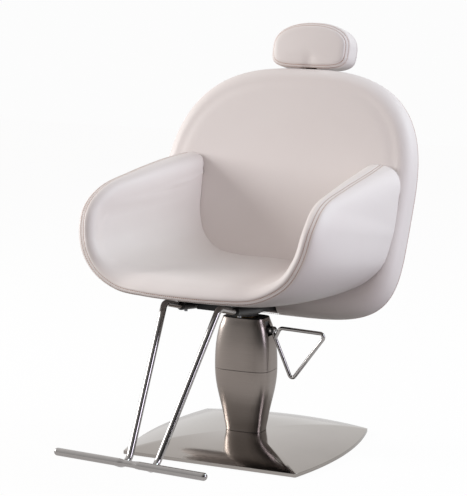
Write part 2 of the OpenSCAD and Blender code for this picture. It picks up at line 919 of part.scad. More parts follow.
module seat_pad() {
    color(leatherette)
        tub_body(true);
}

module seat_shell() {
    color(leatherette)
        difference() {
            tub_body(false);
            on_frame() {
                translate([-frame_w / 2 - frame_room, -frame_front - frame_room, -3 * frame_t])
                    cube([frame_w + 2 * frame_room, frame_front + frame_rear + 2 * frame_room,
                        3 * frame_t + seat_gap]);
                at_frame_bolts()
                    cylinder(h = bolt_hold + bolt_play, d = frame_bolt_d + 2 * press_gap);
            }
        }
}

// Recline hinge

hinge_y = 97;
hinge_drop = 127;
hinge_z = seat_h - hinge_drop;
hinge_pin_d = 14;
cheek_x = 43.5;
cheek_t = 8;
back_ear_x = 34;
back_ear_t = 8;
bush_d = 20;
lock_d = 34;
lock_w = 60;
ear_r = 15;
plate_r = 14;
plate_front = 62;
plate_front_h = 26;
plate_toe = 50;
plate_toe_h = 36;
hinge_pin_proud = 2.5;

module at_hinge() {
    translate([0, hinge_y, hinge_z])
        children();
}

// A bar along X, centred
module cross_bar(l, d) {
    rotate([0, 90, 0])
        cylinder(h = l, d = d, center = true);
}

// The hinge's place in the seat frame's own axes
hinge_in_frame = [
    hinge_y * cos(rake) - (hinge_z - frame_z) * sin(rake),
    hinge_y * sin(rake) + (hinge_z - frame_z) * cos(rake)
];

module hinge_plates() {
    p = hinge_in_frame;
    color(black_tone)
        difference() {
            on_frame()
                for (s = [-1, 1])
                    translate([s * (cheek_x + cheek_t / 2) - cheek_t / 2, 0, 0])
                        rotate([90, 0, 90])
                            linear_extrude(cheek_t) {
                                polygon([
                                    [-plate_front, -frame_t], [frame_rear, -frame_t],
                                    [p.x, p.y + plate_r], [p.x, p.y - plate_r],
                                    [-plate_toe, -plate_toe_h], [-plate_front, -plate_front_h]
                                ]);
                                translate(p)
                                    circle(plate_r);
                            }
            at_hinge()
                cross_bar(4 * cheek_x, hinge_pin_d + 2 * press_gap);
            on_lock_axis()
                translate([-2 * cheek_x, 0, 0])
                    rotate([0, 90, 0])
                        cylinder(h = 2 * cheek_x - back_ear_x, d = lock_lever_d + 2 * running_gap);
        }
}

module hinge_pin() {
    color(steel_tone)
        at_hinge()
            cross_bar(2 * (cheek_x + cheek_t + hinge_pin_proud), hinge_pin_d);
}

module recline_lock() {
    color(black_tone)
        at_hinge()
            difference() {
                cross_bar(lock_w, lock_d);
                cross_bar(2 * lock_w, hinge_pin_d + 2 * press_gap);
            }
}

// Lock lever: a bent rod under the sitter's right side, hinged below the frame's plate

lock_lever_d = 8;
lock_lever_y = -50;
lock_lever_z = -22;
lock_lever_x = -132;
lock_tip = [-138, -92, -21];
lock_bend = 10;
collar_d = 13;
lock_collar_t = 3;
lock_ball_d = 12;

module on_lock_axis() {
    on_frame()
        translate([0, lock_lever_y, lock_lever_z])
            children();
}

module lock_lever() {
    start = collar_d - cheek_x - cheek_t;
    color(black_tone) {
        on_frame()
            bent_rod([[start, lock_lever_y, lock_lever_z], [lock_lever_x, lock_lever_y, lock_lever_z], lock_tip],
                [lock_bend], lock_lever_d);
        on_lock_axis()
            for (x = [lock_collar_t + slide_gap - cheek_x, -slide_gap - cheek_x - cheek_t])
                translate([x - lock_collar_t, 0, 0])
                    rotate([0, 90, 0])
                        cylinder(h = lock_collar_t, d = collar_d);
        on_frame()
            translate(lock_tip)
                sphere(d = lock_ball_d);
    }
}

// Backrest, in its own axes: X across, Y into its depth, Z up its leaning front face

module on_back() {
    translate([0, back_y, seat_h])
        rotate([-back_lean, 0, 0])
            children();
}

// The hinge's place in the backrest's own axes
hinge_in_back = [
    (hinge_y - back_y) * cos(back_lean) - (hinge_z - seat_h) * sin(back_lean),
    (hinge_y - back_y) * sin(back_lean) + (hinge_z - seat_h) * cos(back_lean)
];

back_points = 60;
notch_w = 110;
notch_rise = 26;
notch_top_v = hinge_in_back.y + notch_rise;
board_t = 8;
board_w = 560;
board_foot_gap = 88;
board_top_gap = 121;
board_low_v = board_foot_gap - back_down;
board_high_v = back_up - board_top_gap;
board_r = 60;
frame_bar_t = 10;
frame_bar_w = 24;
bar_low_v = 40;
back_frame_y = back_t + seat_gap;
cover_crown = 17;
cover_rim = 11;
cover_t = 3.5;
cover_inset = 4;
cover_r = 7;
cover_foot = 5;

// Headrest's sliding post and its guide, in the backrest's own axes
post_w = 30;
post_t = 6;
guide_plate_t = 3;
guide_y = back_t + seat_gap;
post_gap = 3;
post_y = guide_y + guide_plate_t + post_gap;
post_mid_y = post_y + post_t / 2;
guide_w = 40;
guide_wall = 2;

// Height at which the post's rear face crosses the cover's face that stands at depth y at its rim
function crossing_v(y) =
    let (share = (post_y + post_t + slide_gap - y) / cover_crown)
    back_mid_v + (back_top_h - cover_rim) * sqrt(1 - share);
slot_lead = 12;
slot_low_v = crossing_v(back_frame_y + cover_rim - cover_t) - slot_lead;
notch_low_v = crossing_v(back_frame_y + cover_rim) - slot_lead;
guide_h = 124;
guide_top_gap = 35;
guide_high_v = slot_low_v - guide_top_gap;
guide_low_v = guide_high_v - guide_h;
post_low_gap = 10;
post_low_v = guide_low_v + post_low_gap;
bar_high_gap = 16;
bar_high_v = guide_low_v - bar_high_gap;
guide_screw_in = 16;
head_rise = 55;

// A ring of the backrest's outline, drawn in by inset and at a share of that, at depth y
function back_ring(inset, share, y, count) =
    [for (j = [0 : count - 1])
        let (a = 360 * j / count, high = sin(a) >= 0)
        let (p = 2 / (high ? back_top_power : back_low_power))
        [(back_w / 2 - inset) * share * power(cos(a), p), y,
         back_mid_v + ((high ? back_top_h : back_low_h) - inset) * share * power(sin(a), p)]];

module back_pad() {
    rear_lip = 4;
    face_shares = [0.82, 0.62, 0.4, 0.2];
    edge_rings = [for (a = [15 : 15 : 90]) back_ring(back_r * (1 - cos(a)), 1, back_r * (1 - sin(a)), back_points)];
    color(leatherette)
        on_back()
            difference() {
                capped_skin(
                    [0, back_t, back_mid_v],
                    concat(
                        [back_ring(rear_lip, 1, back_t, back_points), back_ring(0, 1, back_t - rear_lip, back_points),
                         back_ring(0, 1, back_r, back_points)],
                        edge_rings,
                        [for (s = face_shares) back_ring(back_r, s, back_dish * (1 - s * s), back_points)]
                    ),
                    [0, back_dish, back_mid_v]
                );
                translate([-notch_w / 2, -over, -back_down - over])
                    cube([notch_w, back_t + 2 * over, notch_top_v + back_down + over]);
                board_space(seat_gap, over);
            }
}

module board_space(gap, extra) {
    translate([0, back_t + extra, (board_low_v + board_high_v) / 2])
        rotate([90, 0, 0])
            round_plate(board_w + 2 * gap, board_high_v - board_low_v + 2 * gap, board_t + gap + extra, board_r);
}

screw_d = 5;
screw_places = [[-200, bar_low_v], [0, bar_low_v], [200, bar_low_v], [-150, bar_high_v], [150, bar_high_v]];
frame_bar_l = 440;
frame_top_l = 340;

module at_board_screws() {
    for (p = screw_places)
        translate([p.x, 0, p.y])
            rotate([-90, 0, 0])
                children();
}

module back_board() {
    color(ply_tone)
        on_back()
            difference() {
                board_space(0, 0);
                translate([0, back_t + over, 0])
                    at_board_screws()
                        translate([0, 0, -board_t])
                            cylinder(h = board_t, d = screw_d + 2 * press_gap);
                translate([0, back_t + over, 0])
                    at_guide_screws()
                        translate([0, 0, -board_t])
                            cylinder(h = board_t, d = screw_d + 2 * press_gap);
            }
}

module back_frame() {
    h = hinge_in_back;
    upright_x = back_ear_x + frame_bar_w / 2;
    color(black_tone)
        on_back()
            difference() {
                union() {
                    for (s = [-1, 1]) {
                        translate([s * upright_x - frame_bar_w / 2, back_frame_y, board_low_v])
                            cube([frame_bar_w, frame_bar_t, bar_high_v - board_low_v]);
                        translate([s * (back_ear_x + back_ear_t / 2) - back_ear_t / 2, 0, 0])
                            rotate([90, 0, 90])
                                linear_extrude(back_ear_t) {
                                    polygon([
                                        [back_frame_y, board_low_v + ear_r], [back_frame_y + frame_bar_t, board_low_v + ear_r],
                                        [back_frame_y + frame_bar_t, notch_top_v], [h.x + ear_r - over, h.y],
                                        [h.x, h.y], [h.x + over, h.y + ear_r - over], [back_frame_y, notch_top_v]
                                    ]);
                                    translate(h)
                                        circle(ear_r);
                                }
                    }
                    translate([-frame_bar_l / 2, back_frame_y, bar_low_v - frame_bar_w / 2])
                        cube([frame_bar_l, frame_bar_t, frame_bar_w]);
                    translate([-frame_top_l / 2, back_frame_y, bar_high_v - frame_bar_w / 2])
                        cube([frame_top_l, frame_bar_t, frame_bar_w]);
                }
                translate([0, h.x, h.y])
                    cross_bar(4 * cheek_x, bush_d + 2 * press_gap);
                at_board_screws()
                    cylinder(h = back_frame_y + frame_bar_t + over, d = screw_d + 2 * press_gap);
            }
}

module hinge_bushes() {
    color(bronze_tone)
        at_hinge()
            for (s = [-1, 1])
                translate([s * (back_ear_x + back_ear_t / 2), 0, 0])
                    difference() {
                        cross_bar(back_ear_t, bush_d);
                        cross_bar(2 * back_ear_t, hinge_pin_d + 2 * running_gap);
                    }
}

module board_screws() {
    color(steel_tone)
        on_back() {
            translate([0, back_frame_y + frame_bar_t, 0])
                at_board_screws()
                    screw(screw_d, frame_bar_t + board_t / 2);
            translate([0, guide_y + guide_plate_t, 0])
                at_guide_screws()
                    screw(screw_d, guide_plate_t + board_t / 2);
        }
}

module back_cover() {
    crown_shares = [0.84, 0.68, 0.5, 0.28];
    rim_y = back_frame_y;
    outer = concat(
        [for (i = [len(crown_shares) - 1 : -1 : 0])
            back_ring(cover_rim, crown_shares[i], rim_y + cover_rim + cover_crown * (1 - pow(crown_shares[i], 2)), back_points)],
        [for (a = [90 : -22.5 : 0])
            back_ring(cover_inset + cover_r * (1 - cos(a)), 1,
                rim_y + cover_rim - cover_r + cover_r * sin(a), back_points)],
        [back_ring(cover_foot, 1, rim_y, back_points)]
    );
    inner = concat(
        [for (y = [rim_y, rim_y + cover_rim - cover_t]) back_ring(cover_foot + cover_t, 1, y, back_points)],
        [for (s = crown_shares)
            back_ring(cover_rim, s, rim_y + cover_rim - cover_t + cover_crown * (1 - s * s), back_points)]
    );
    color(leatherette)
        on_back()
            difference() {
                capped_skin(
                    [0, rim_y + cover_rim + cover_crown, back_mid_v],
                    concat(outer, inner),
                    [0, rim_y + cover_rim + cover_crown - cover_t, back_mid_v]
                );
                translate([-post_w / 2 - slide_gap, post_y - slide_gap, slot_low_v])
                    cube([post_w + 2 * slide_gap, post_t + 2 * slide_gap, back_up]);
                translate([-post_w / 2 - slide_gap, post_y - slide_gap, notch_low_v])
                    cube([post_w + 2 * slide_gap, post_t + cover_crown, back_up]);
            }
}

// Guide and post of the headrest

guide_plate_w = 84;
head_pivot_v = back_up + head_rise;
post_eye_d = 18;
head_pin_d = 8;
guide_screw_x = 32;

module at_guide_screws() {
    for (x = [-1, 1], v = [guide_low_v + guide_screw_in, guide_high_v - guide_screw_in])
        translate([x * guide_screw_x, 0, v])
            rotate([-90, 0, 0])
                children();
}

module headrest_guide() {
    color(black_tone)
        on_back()
            difference() {
                union() {
                    translate([-guide_plate_w / 2, guide_y, guide_low_v])
                        cube([guide_plate_w, guide_plate_t, guide_h]);
                    translate([-guide_w / 2, guide_y, guide_low_v])
                        cube([guide_w, post_y - guide_y + post_t + guide_wall, guide_h]);
                }
                translate([-post_w / 2 - slide_gap, post_y - slide_gap, guide_low_v - over])
                    cube([post_w + 2 * slide_gap, post_t + 2 * slide_gap, guide_h + 2 * over]);
                at_guide_screws()
                    cylinder(h = guide_y + guide_plate_t + over, d = screw_d + 2 * press_gap);
            }
}

module headrest_post() {
    color(chrome_tone)
        on_back()
            difference() {
                union() {
                    translate([-post_w / 2, post_y, post_low_v])
                        cube([post_w, post_t, head_pivot_v - post_low_v]);
                    translate([0, post_mid_y, head_pivot_v])
                        cross_bar(post_w, post_eye_d);
                }
                translate([0, post_mid_y, head_pivot_v])
                    cross_bar(2 * post_w, head_pin_d + 2 * running_gap);
            }
}

// Headrest, in its own axes: the origin is on its tilt pin, Z up its leaning front face

head_pivot_y = back_y + post_mid_y * cos(back_lean) + head_pivot_v * sin(back_lean);
head_pivot_z = seat_h - post_mid_y * sin(back_lean) + head_pivot_v * cos(back_lean);
bracket_cheek_t = 4;
bracket_y = 40;
bracket_top = 16;
bracket_plate_t = 3;
bracket_screw_x = 7;
bracket_screw_y = 11;
bracket_screw_hold = 10;
head_crown = 3;
head_rear_crown = 4;
head_notch_gap = 3;
head_front = 38;
head_split = 17;
head_mid_z = 12;
head_top_power = 2.25;
head_low_power = 4.2;
head_points = 48;
head_notch_w = 52;
head_r = 30;

module on_head() {
    translate([0, head_pivot_y, head_pivot_z])
        rotate([-head_lean, 0, 0])
            children();
}

function head_ring(inset, share, y) =
    [for (j = [0 : head_points - 1])
        let (a = 360 * j / head_points, high = sin(a) >= 0, p = 2 / (high ? head_top_power : head_low_power))
        [(head_w / 2 - inset) * share * power(cos(a), p), y,
         head_mid_z + ((high ? head_up - head_mid_z : head_down + head_mid_z) - inset) * share * power(sin(a), p)]];

module head_notch() {
    translate([-head_notch_w / 2, -bracket_y / 2 - head_notch_gap, -head_down - over])
        cube([head_notch_w, bracket_y + 2 * head_notch_gap, head_down + bracket_top + over]);
}

module at_bracket_screws() {
    for (x = [-1, 1])
        translate([x * bracket_screw_x, bracket_screw_y, bracket_top - bracket_plate_t - seat_gap])
            rotate([180, 0, 0])
                children();
}

module headrest_pin() {
    color(steel_tone)
        translate([0, head_pivot_y, head_pivot_z])
            cross_bar(head_notch_w - 2 * head_notch_gap, head_pin_d);
}

module headrest_bracket() {
    cheek_x = post_w / 2 + slide_gap;
    color(black_tone)
        on_head()
            difference() {
                union() {
                    translate([-cheek_x - bracket_cheek_t, -bracket_y / 2, bracket_top - bracket_plate_t - seat_gap])
                        cube([2 * (cheek_x + bracket_cheek_t), bracket_y, bracket_plate_t]);
                    for (s = [-1, 1])
                        translate([s * (cheek_x + bracket_cheek_t / 2) - bracket_cheek_t / 2, 0, 0]) {
                            translate([0, -post_eye_d / 2, 0])
                                cube([bracket_cheek_t, post_eye_d, bracket_top - bracket_plate_t]);
                            rotate([0, 90, 0])
                                cylinder(h = bracket_cheek_t, d = post_eye_d);
                        }
                }
                cross_bar(4 * cheek_x, head_pin_d + 2 * press_gap);
                at_bracket_screws()
                    translate([0, 0, -bracket_plate_t - over])
                        cylinder(h = bracket_plate_t + 2 * over, d = screw_d + 2 * press_gap);
            }
}

module bracket_screws() {
    color(steel_tone)
        on_head()
            at_bracket_screws()
                screw(screw_d, bracket_plate_t + bracket_screw_hold);
}

module headrest_pad() {
    flat_y = head_r - head_front;
    head_hole_l = bracket_plate_t + bracket_screw_hold + over;
    color(leatherette)
        on_head()
            difference() {
                capped_skin(
                    [0, head_split, head_mid_z],
                    concat(
                        [head_ring(0, 1, head_split)],
                        [for (a = [0 : 15 : 90]) head_ring(head_r * (1 - cos(a)), 1, flat_y - head_r * sin(a))],
                        [for (s = [0.72, 0.4]) head_ring(head_r, s, -head_front - head_crown * (1 - s * s))]
                    ),
                    [0, -head_front - head_crown, head_mid_z]
                );
                head_notch();
                at_bracket_screws()
                    translate([0, 0, -head_hole_l])
                        cylinder(h = head_hole_l, d = screw_d + 2 * press_gap);
            }
}

module headrest_cover() {
    rear_y = head_t - head_front;
    r = rear_y - head_split - seat_gap;
    color(leatherette)
        on_head()
            difference() {
                capped_skin(
                    [0, rear_y + head_rear_crown, head_mid_z],
                    concat(
                        [for (s = [0.4, 0.75]) head_ring(r, s, rear_y + head_rear_crown * (1 - s * s))],
                        [for (a = [90 : -15 : 0]) head_ring(r * (1 - cos(a)), 1, rear_y - r + r * sin(a))]
                    ),
                    [0, head_split + seat_gap, head_mid_z]
                );
                head_notch();
            }
}

floor_pads();
base_plate();
base_cover();
column_flange();
flange_bolts();
pump_cylinder();
guide_bush();
lower_cover();
sleeve_collar();
inner_sleeve();
ram();
piston();
upper_cover();
top_cap();
thrust_washer();
lever_bracket();
pump_lever();
lever_pin();
seat_frame();
frame_bolts();
footrest_sockets();
socket_screws();
footrest_leg_left();
footrest_leg_right();
foot_bar();
seat_shell();
seat_pad();
hinge_plates();
hinge_pin();
recline_lock();
lock_lever();
back_frame();
hinge_bushes();
back_board();
back_pad();
back_cover();
board_screws();
headrest_guide();
headrest_post();
headrest_pin();
headrest_bracket();
headrest_pad();
headrest_cover();
bracket_screws();
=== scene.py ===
import math

import bmesh
import bpy
from mathutils import Matrix, Vector


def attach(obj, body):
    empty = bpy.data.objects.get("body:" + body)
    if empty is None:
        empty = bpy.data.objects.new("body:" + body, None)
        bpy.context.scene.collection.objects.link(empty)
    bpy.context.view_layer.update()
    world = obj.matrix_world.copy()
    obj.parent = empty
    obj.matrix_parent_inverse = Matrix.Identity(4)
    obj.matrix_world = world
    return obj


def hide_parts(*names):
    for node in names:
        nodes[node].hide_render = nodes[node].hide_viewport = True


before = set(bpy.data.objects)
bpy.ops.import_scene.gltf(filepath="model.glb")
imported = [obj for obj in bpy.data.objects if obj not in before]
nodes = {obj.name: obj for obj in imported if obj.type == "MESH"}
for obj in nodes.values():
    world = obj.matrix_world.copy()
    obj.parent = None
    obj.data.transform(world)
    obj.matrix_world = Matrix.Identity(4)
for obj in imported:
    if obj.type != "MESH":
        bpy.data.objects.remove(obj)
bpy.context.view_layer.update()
mm = 0.001  # lengths below are in millimetres unless a note says metres
print("frame loaded with", len(nodes), "nodes")


# Numbers and curves

def toLinear(hexText):
    channels = [int(hexText[i:i + 2], 16) / 255 for i in (1, 3, 5)]
    return [c / 12.92 if c <= 0.04045 else ((c + 0.055) / 1.055) ** 2.4 for c in channels] + [1]


# Smooth curve through values that are mirrored before the first one, or turned over there if odd
def along(shares, place, odd=False):
    last = len(shares) - 1
    i = min(int(place), last - 1)
    t = place - i
    before = shares[i - 1] if i else (-shares[1] if odd else shares[1])
    a, b, c, d = before, shares[i], shares[i + 1], shares[min(i + 2, last)]
    return (b * 2 + (c - a) * t + (a * 2 - b * 5 + c * 4 - d) * t * t
            + (b * 3 - a - c * 3 + d) * t ** 3) / 2


def curvePoint(a, b, c, d, t):  # a curve from a to d, drawn towards b and c
    s = 1 - t
    return a * s ** 3 + b * 3 * s * s * t + c * 3 * s * t * t + d * t ** 3


def hump(distance, centre, width):
    return math.exp(-((distance - centre) / width) ** 2)


def resample(points, distances):  # points of a polyline at given distances from its start
    found, i, walked = [], 0, 0.0
    step = (points[1] - points[0]).length
    for distance in distances:
        while walked + step < distance and i < len(points) - 2:
            walked += step
            i += 1
            step = (points[i + 1] - points[i]).length
        share = min(max((distance - walked) / step, 0), 1)
        found.append(points[i].lerp(points[i + 1], share))
    return found


def lengthOf(points):
    return sum((b - a).length for a, b in zip(points, points[1:]))


# Points round an oval whose halves differ, from its lowest point
def oval(wide, up, down, upPower, downPower, count):
    points = []
    for j in range(count):
        a = 2 * math.pi * j / count - math.pi / 2
        tall, exponent = (up, upPower) if math.sin(a) >= 0 else (down, downPower)
        reach = (abs(math.cos(a) / wide) ** exponent + abs(math.sin(a) / tall) ** exponent) ** (-1 / exponent)
        points.append((reach * math.cos(a), reach * math.sin(a)))
    return points


# Meshes

def newPiece(name, bm, material, body):
    mesh = bpy.data.meshes.new(name)
    bmesh.ops.recalc_face_normals(bm, faces=bm.faces)
    bm.to_mesh(mesh)
    bm.free()
    mesh.transform(Matrix.Scale(mm, 4))
    mesh.shade_smooth()
    piece = bpy.data.objects.new(name, mesh)
    bpy.context.scene.collection.objects.link(piece)
    mesh.materials.append(material)
    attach(piece, body)
    return piece


weld = 1e-3  # millimetres; well above the rounding of coordinates of several hundred
sliver = 1e-6  # metres; edges left where two cuts meet


# A sheet through rows of points. Closed joins each row to its start; a last row that is also
# the first is joined to it.
def skinFromRows(rows, closed):
    columns = len(rows[0]) - (0 if closed else 1)
    bm = bmesh.new()
    bmesh.ops.create_grid(bm, x_segments=columns, y_segments=len(rows) - 1, size=1)
    bm.verts.ensure_lookup_table()
    for i, row in enumerate(rows):
        for j in range(columns + 1):
            bm.verts[i * (columns + 1) + j].co = row[j % len(row)]
    if closed:
        seam = [bm.verts[i * (columns + 1) + j] for i in range(len(rows)) for j in (0, columns)]
        if rows[0] is rows[-1]:
            seam += [bm.verts[i * (columns + 1) + j] for i in (0, len(rows) - 1) for j in range(1, columns)]
        bmesh.ops.remove_doubles(bm, verts=seam, dist=weld)
    return bm


def closeHoles(bm):
    edges = [e for e in bm.edges if e.is_boundary]
    bmesh.ops.holes_fill(bm, edges=edges, sides=0)


def normalsOf(rows, wrap):  # outward or inward normals of a grid of points, one per point
    last = len(rows) - 1
    width = len(rows[0])
    found = []
    for i, row in enumerate(rows):
        before, after = rows[max(i - 1, 0)], rows[min(i + 1, last)]
        line = []
        for j in range(width):
            left, right = (j - 1, (j + 1) % width) if wrap else (max(j - 1, 0), min(j + 1, width - 1))
            line.append((after[j] - before[j]).cross(row[right] - row[left]).normalized())
        found.append(line)
    return found


def keepEdges(piece, angle=35):  # smooth shading with crisp edges
    piece.data.shade_smooth()
    piece.data.set_sharp_from_angle(angle=math.radians(angle))


def cutOut(piece, boxes):  # boxes: (lowest, highest corner, matrix) in millimetres
    for lowest, highest, place in boxes:
        bm = bmesh.new()
        size, centre = highest - lowest, (highest + lowest) / 2
        shape = place @ Matrix.Translation(centre) @ Matrix.Diagonal(size).to_4x4()
        bmesh.ops.create_cube(bm, size=1, matrix=Matrix.Scale(mm, 4) @ shape)
        mesh = bpy.data.meshes.new("cutter")
        bm.to_mesh(mesh)
        bm.free()
        cutter = bpy.data.objects.new("cutter", mesh)
        bpy.context.scene.collection.objects.link(cutter)
        modifier = piece.modifiers.new("cut", "BOOLEAN")
        modifier.operation, modifier.object, modifier.solver = "DIFFERENCE", cutter, "EXACT"
        bpy.context.view_layer.update()
        shaped = piece.evaluated_get(bpy.context.evaluated_depsgraph_get())
        result = bpy.data.meshes.new_from_object(shaped)
        bm = bmesh.new()
        bm.from_mesh(result)
        bmesh.ops.dissolve_degenerate(bm, edges=bm.edges, dist=sliver)
        bm.to_mesh(result)
        bm.free()
        piece.modifiers.remove(modifier)
        old = piece.data
        piece.data = result
        bpy.data.meshes.remove(old)
        bpy.data.objects.remove(cutter)


# Materials

def addNode(tree, kind, settings=None, links=None):
    node = tree.nodes.new(kind)
    for name, value in (settings or {}).items():
        if isinstance(name, int) or name in node.inputs:
            node.inputs[name].default_value = value
        else:
            setattr(node, name, value)
    for name, source in (links or {}).items():
        tree.links.new(source, node.inputs[name])
    return node


def newMaterial(name, settings):
    material = bpy.data.materials.new(name)
    material.use_nodes = True
    tree = material.node_tree
    shader = tree.nodes["Principled BSDF"]
    for socket, value in settings.items():
        shader.inputs[socket].default_value = value
    place = addNode(tree, "ShaderNodeTexCoord").outputs["Object"]
    return material, tree, shader, place


def dress(tree, shader, pattern, look):  # one pattern carries a finish's colour, roughness and relief
    tone = addNode(tree, "ShaderNodeMix", {
        "data_type": "RGBA", 6: toLinear(look["light"]), 7: toLinear(look["shade"])}, {0: pattern})
    tree.links.new(tone.outputs[2], shader.inputs["Base Color"])
    gloss = addNode(tree, "ShaderNodeMapRange", {
        "To Min": look["smooth"], "To Max": look["rough"]
    }, {"Value": pattern})
    tree.links.new(gloss.outputs["Result"], shader.inputs["Roughness"])
    if "relief" in look:
        relief = addNode(tree, "ShaderNodeBump", {
            "Strength": look["relief"], "Distance": look["depth"] * mm
        }, {"Height": look.get("height", pattern)})
        tree.links.new(relief.outputs["Normal"], shader.inputs["Normal"])


def perMetre(size):  # texture scale whose features are about size millimetres across
    return 1 / (size * mm)


# Off-white PVC leatherette over foam: even and faintly warm, with a pebble grain and a soft sheen
def leatherette():
    look = {
        "grain": 2.4, "cloud": 90, "light": "#E8E2DF", "shade": "#E6DFDC",
        "smooth": 0.44, "rough": 0.52, "relief": 0.1, "depth": 0.15
    }
    # the real grain is about 0.8 mm; it is drawn three times as coarse so that it shows
    material, tree, shader, place = newMaterial("leatherette", {"IOR": 1.5, "Specular IOR Level": 0.35})
    grain = addNode(tree, "ShaderNodeTexVoronoi", {"Scale": perMetre(look["grain"])}, {"Vector": place})
    cloud = addNode(tree, "ShaderNodeTexNoise", {
        "Scale": perMetre(look["cloud"]), "Detail": 2
    }, {"Vector": place})
    dress(tree, shader, cloud.outputs["Fac"], look | {"height": grain.outputs["Distance"]})
    return material


# Twisted polyester thread in a pink tan: matt, with the ply showing as fine slants
def stitchThread():
    look = {"ply": 0.6, "slant": 6, "light": "#B98567", "shade": "#8E5E44", "smooth": 0.6, "rough": 0.75}
    material, tree, shader, place = newMaterial("stitch_thread", {"Sheen Weight": 0.2})
    ply = addNode(tree, "ShaderNodeTexWave", {
        "Scale": perMetre(look["ply"]) / look["slant"], "Distortion": 1
    }, {"Vector": place})
    dress(tree, shader, ply.outputs["Fac"], look)
    return material


# Bright chrome over polished steel tube: a clean mirror with a trace of polishing haze
def brightChrome():
    look = {"haze": 9, "light": "#ADA9A7", "shade": "#A19D9B", "smooth": 0.08, "rough": 0.14}
    material, tree, shader, place = newMaterial("bright_chrome", {"Metallic": 1})
    haze = addNode(tree, "ShaderNodeTexNoise", {
        "Scale": perMetre(look["haze"]), "Detail": 3
    }, {"Vector": place})
    dress(tree, shader, haze.outputs["Fac"], look)
    return material


# Mirror-polished stainless sheet: a warm grey mirror with faint swirl marks and rub marks
def polishedSheet():
    look = {
        "swirl": 14, "smear": 160, "light": "#ADA7A2", "shade": "#A19B96",
        "smooth": 0.08, "rough": 0.15, "relief": 0.05, "depth": 0.2
    }
    material, tree, shader, place = newMaterial("polished_stainless", {"Metallic": 1})
    swirl = addNode(tree, "ShaderNodeTexNoise", {
        "Scale": perMetre(look["swirl"]), "Detail": 1
    }, {"Vector": place})
    smear = addNode(tree, "ShaderNodeTexNoise", {
        "Scale": perMetre(look["smear"]), "Detail": 4
    }, {"Vector": place})
    dress(tree, shader, smear.outputs["Fac"], look | {"height": swirl.outputs["Fac"]})
    return material


# Satin nickel over pressed steel covers: fine brushing round the column, wide soft highlights
def satinNickel():
    look = {
        "brush": 1.2, "run": 60, "light": "#9A918B", "shade": "#8D847E",
        "smooth": 0.27, "rough": 0.33, "relief": 0.03, "depth": 0.04
    }
    # real brush marks are about 0.1 mm apart; they are drawn wider so that they show
    material, tree, shader, place = newMaterial("satin_nickel", {"Metallic": 1})
    stretch = (perMetre(look["run"]), perMetre(look["run"]), perMetre(look["brush"]))
    brush = addNode(tree, "ShaderNodeMapping", {"Scale": stretch}, {"Vector": place})
    marks = addNode(tree, "ShaderNodeTexNoise", {
        "Scale": 1, "Detail": 3
    }, {"Vector": brush.outputs["Vector"]})
    dress(tree, shader, marks.outputs["Fac"], look)
    return material


# Plain turned or drawn steel: cool grey with fine tool marks
def plainSteel():
    look = {"marks": 0.9, "light": "#A6A8AC", "shade": "#8C8E92", "smooth": 0.22, "rough": 0.38}
    material, tree, shader, place = newMaterial("turned_steel", {"Metallic": 1})
    marks = addNode(tree, "ShaderNodeTexNoise", {
        "Scale": perMetre(look["marks"]), "Detail": 2
    }, {"Vector": place})
    dress(tree, shader, marks.outputs["Fac"], look)
    return material


# Black powder coat over steel: orange-peel texture and a low even gloss
def blackCoat():
    look = {
        "peel": 1.6, "light": "#1B1B1C", "shade": "#121213",
        "smooth": 0.34, "rough": 0.46, "relief": 0.2, "depth": 0.1
    }
    material, tree, shader, place = newMaterial("black_powder_coat", {})
    peel = addNode(tree, "ShaderNodeTexNoise", {
        "Scale": perMetre(look["peel"]), "Detail": 2
    }, {"Vector": place})
    dress(tree, shader, peel.outputs["Fac"], look)
    return material


# Injection-moulded black nylon: matt, with a fine spark-eroded texture
def blackPlastic():
    look = {
        "texture": 0.9, "light": "#1E1E1F", "shade": "#161617",
        "smooth": 0.5, "rough": 0.62, "relief": 0.15, "depth": 0.06
    }
    material, tree, shader, place = newMaterial("black_nylon", {"IOR": 1.53})
    texture = addNode(tree, "ShaderNodeTexNoise", {
        "Scale": perMetre(look["texture"]), "Detail": 3
    }, {"Vector": place})
    dress(tree, shader, texture.outputs["Fac"], look)
    return material


# Moulded floor rubber: dark grey, dusty and dead matt
def floorRubber():
    look = {"dust": 6, "light": "#2C2B2A", "shade": "#1B1A1A", "smooth": 0.75, "rough": 0.9}
    material, tree, shader, place = newMaterial("moulded_rubber", {"IOR": 1.52})
    dust = addNode(tree, "ShaderNodeTexNoise", {
        "Scale": perMetre(look["dust"]), "Detail": 5
    }, {"Vector": place})
    dress(tree, shader, dust.outputs["Fac"], look)
    return material


# Grey primer on flame-cut plate: flat, with a light mottling
def primedPlate():
    look = {"mottle": 25, "light": "#4B4C4F", "shade": "#3B3C3F", "smooth": 0.55, "rough": 0.7}
    material, tree, shader, place = newMaterial("primed_plate", {})
    mottle = addNode(tree, "ShaderNodeTexNoise", {
        "Scale": perMetre(look["mottle"]), "Detail": 4
    }, {"Vector": place})
    dress(tree, shader, mottle.outputs["Fac"], look)
    return material


# Sintered bearing bronze, much darker than fresh bronze and finely porous
def bearingBronze():
    look = {"pores": 0.8, "light": "#57452C", "shade": "#35291B", "smooth": 0.35, "rough": 0.5}
    material, tree, shader, place = newMaterial("greased_bronze", {"Metallic": 1})
    pores = addNode(tree, "ShaderNodeTexNoise", {
        "Scale": perMetre(look["pores"]), "Detail": 2
    }, {"Vector": place})
    dress(tree, shader, pores.outputs["Fac"], look)
    return material


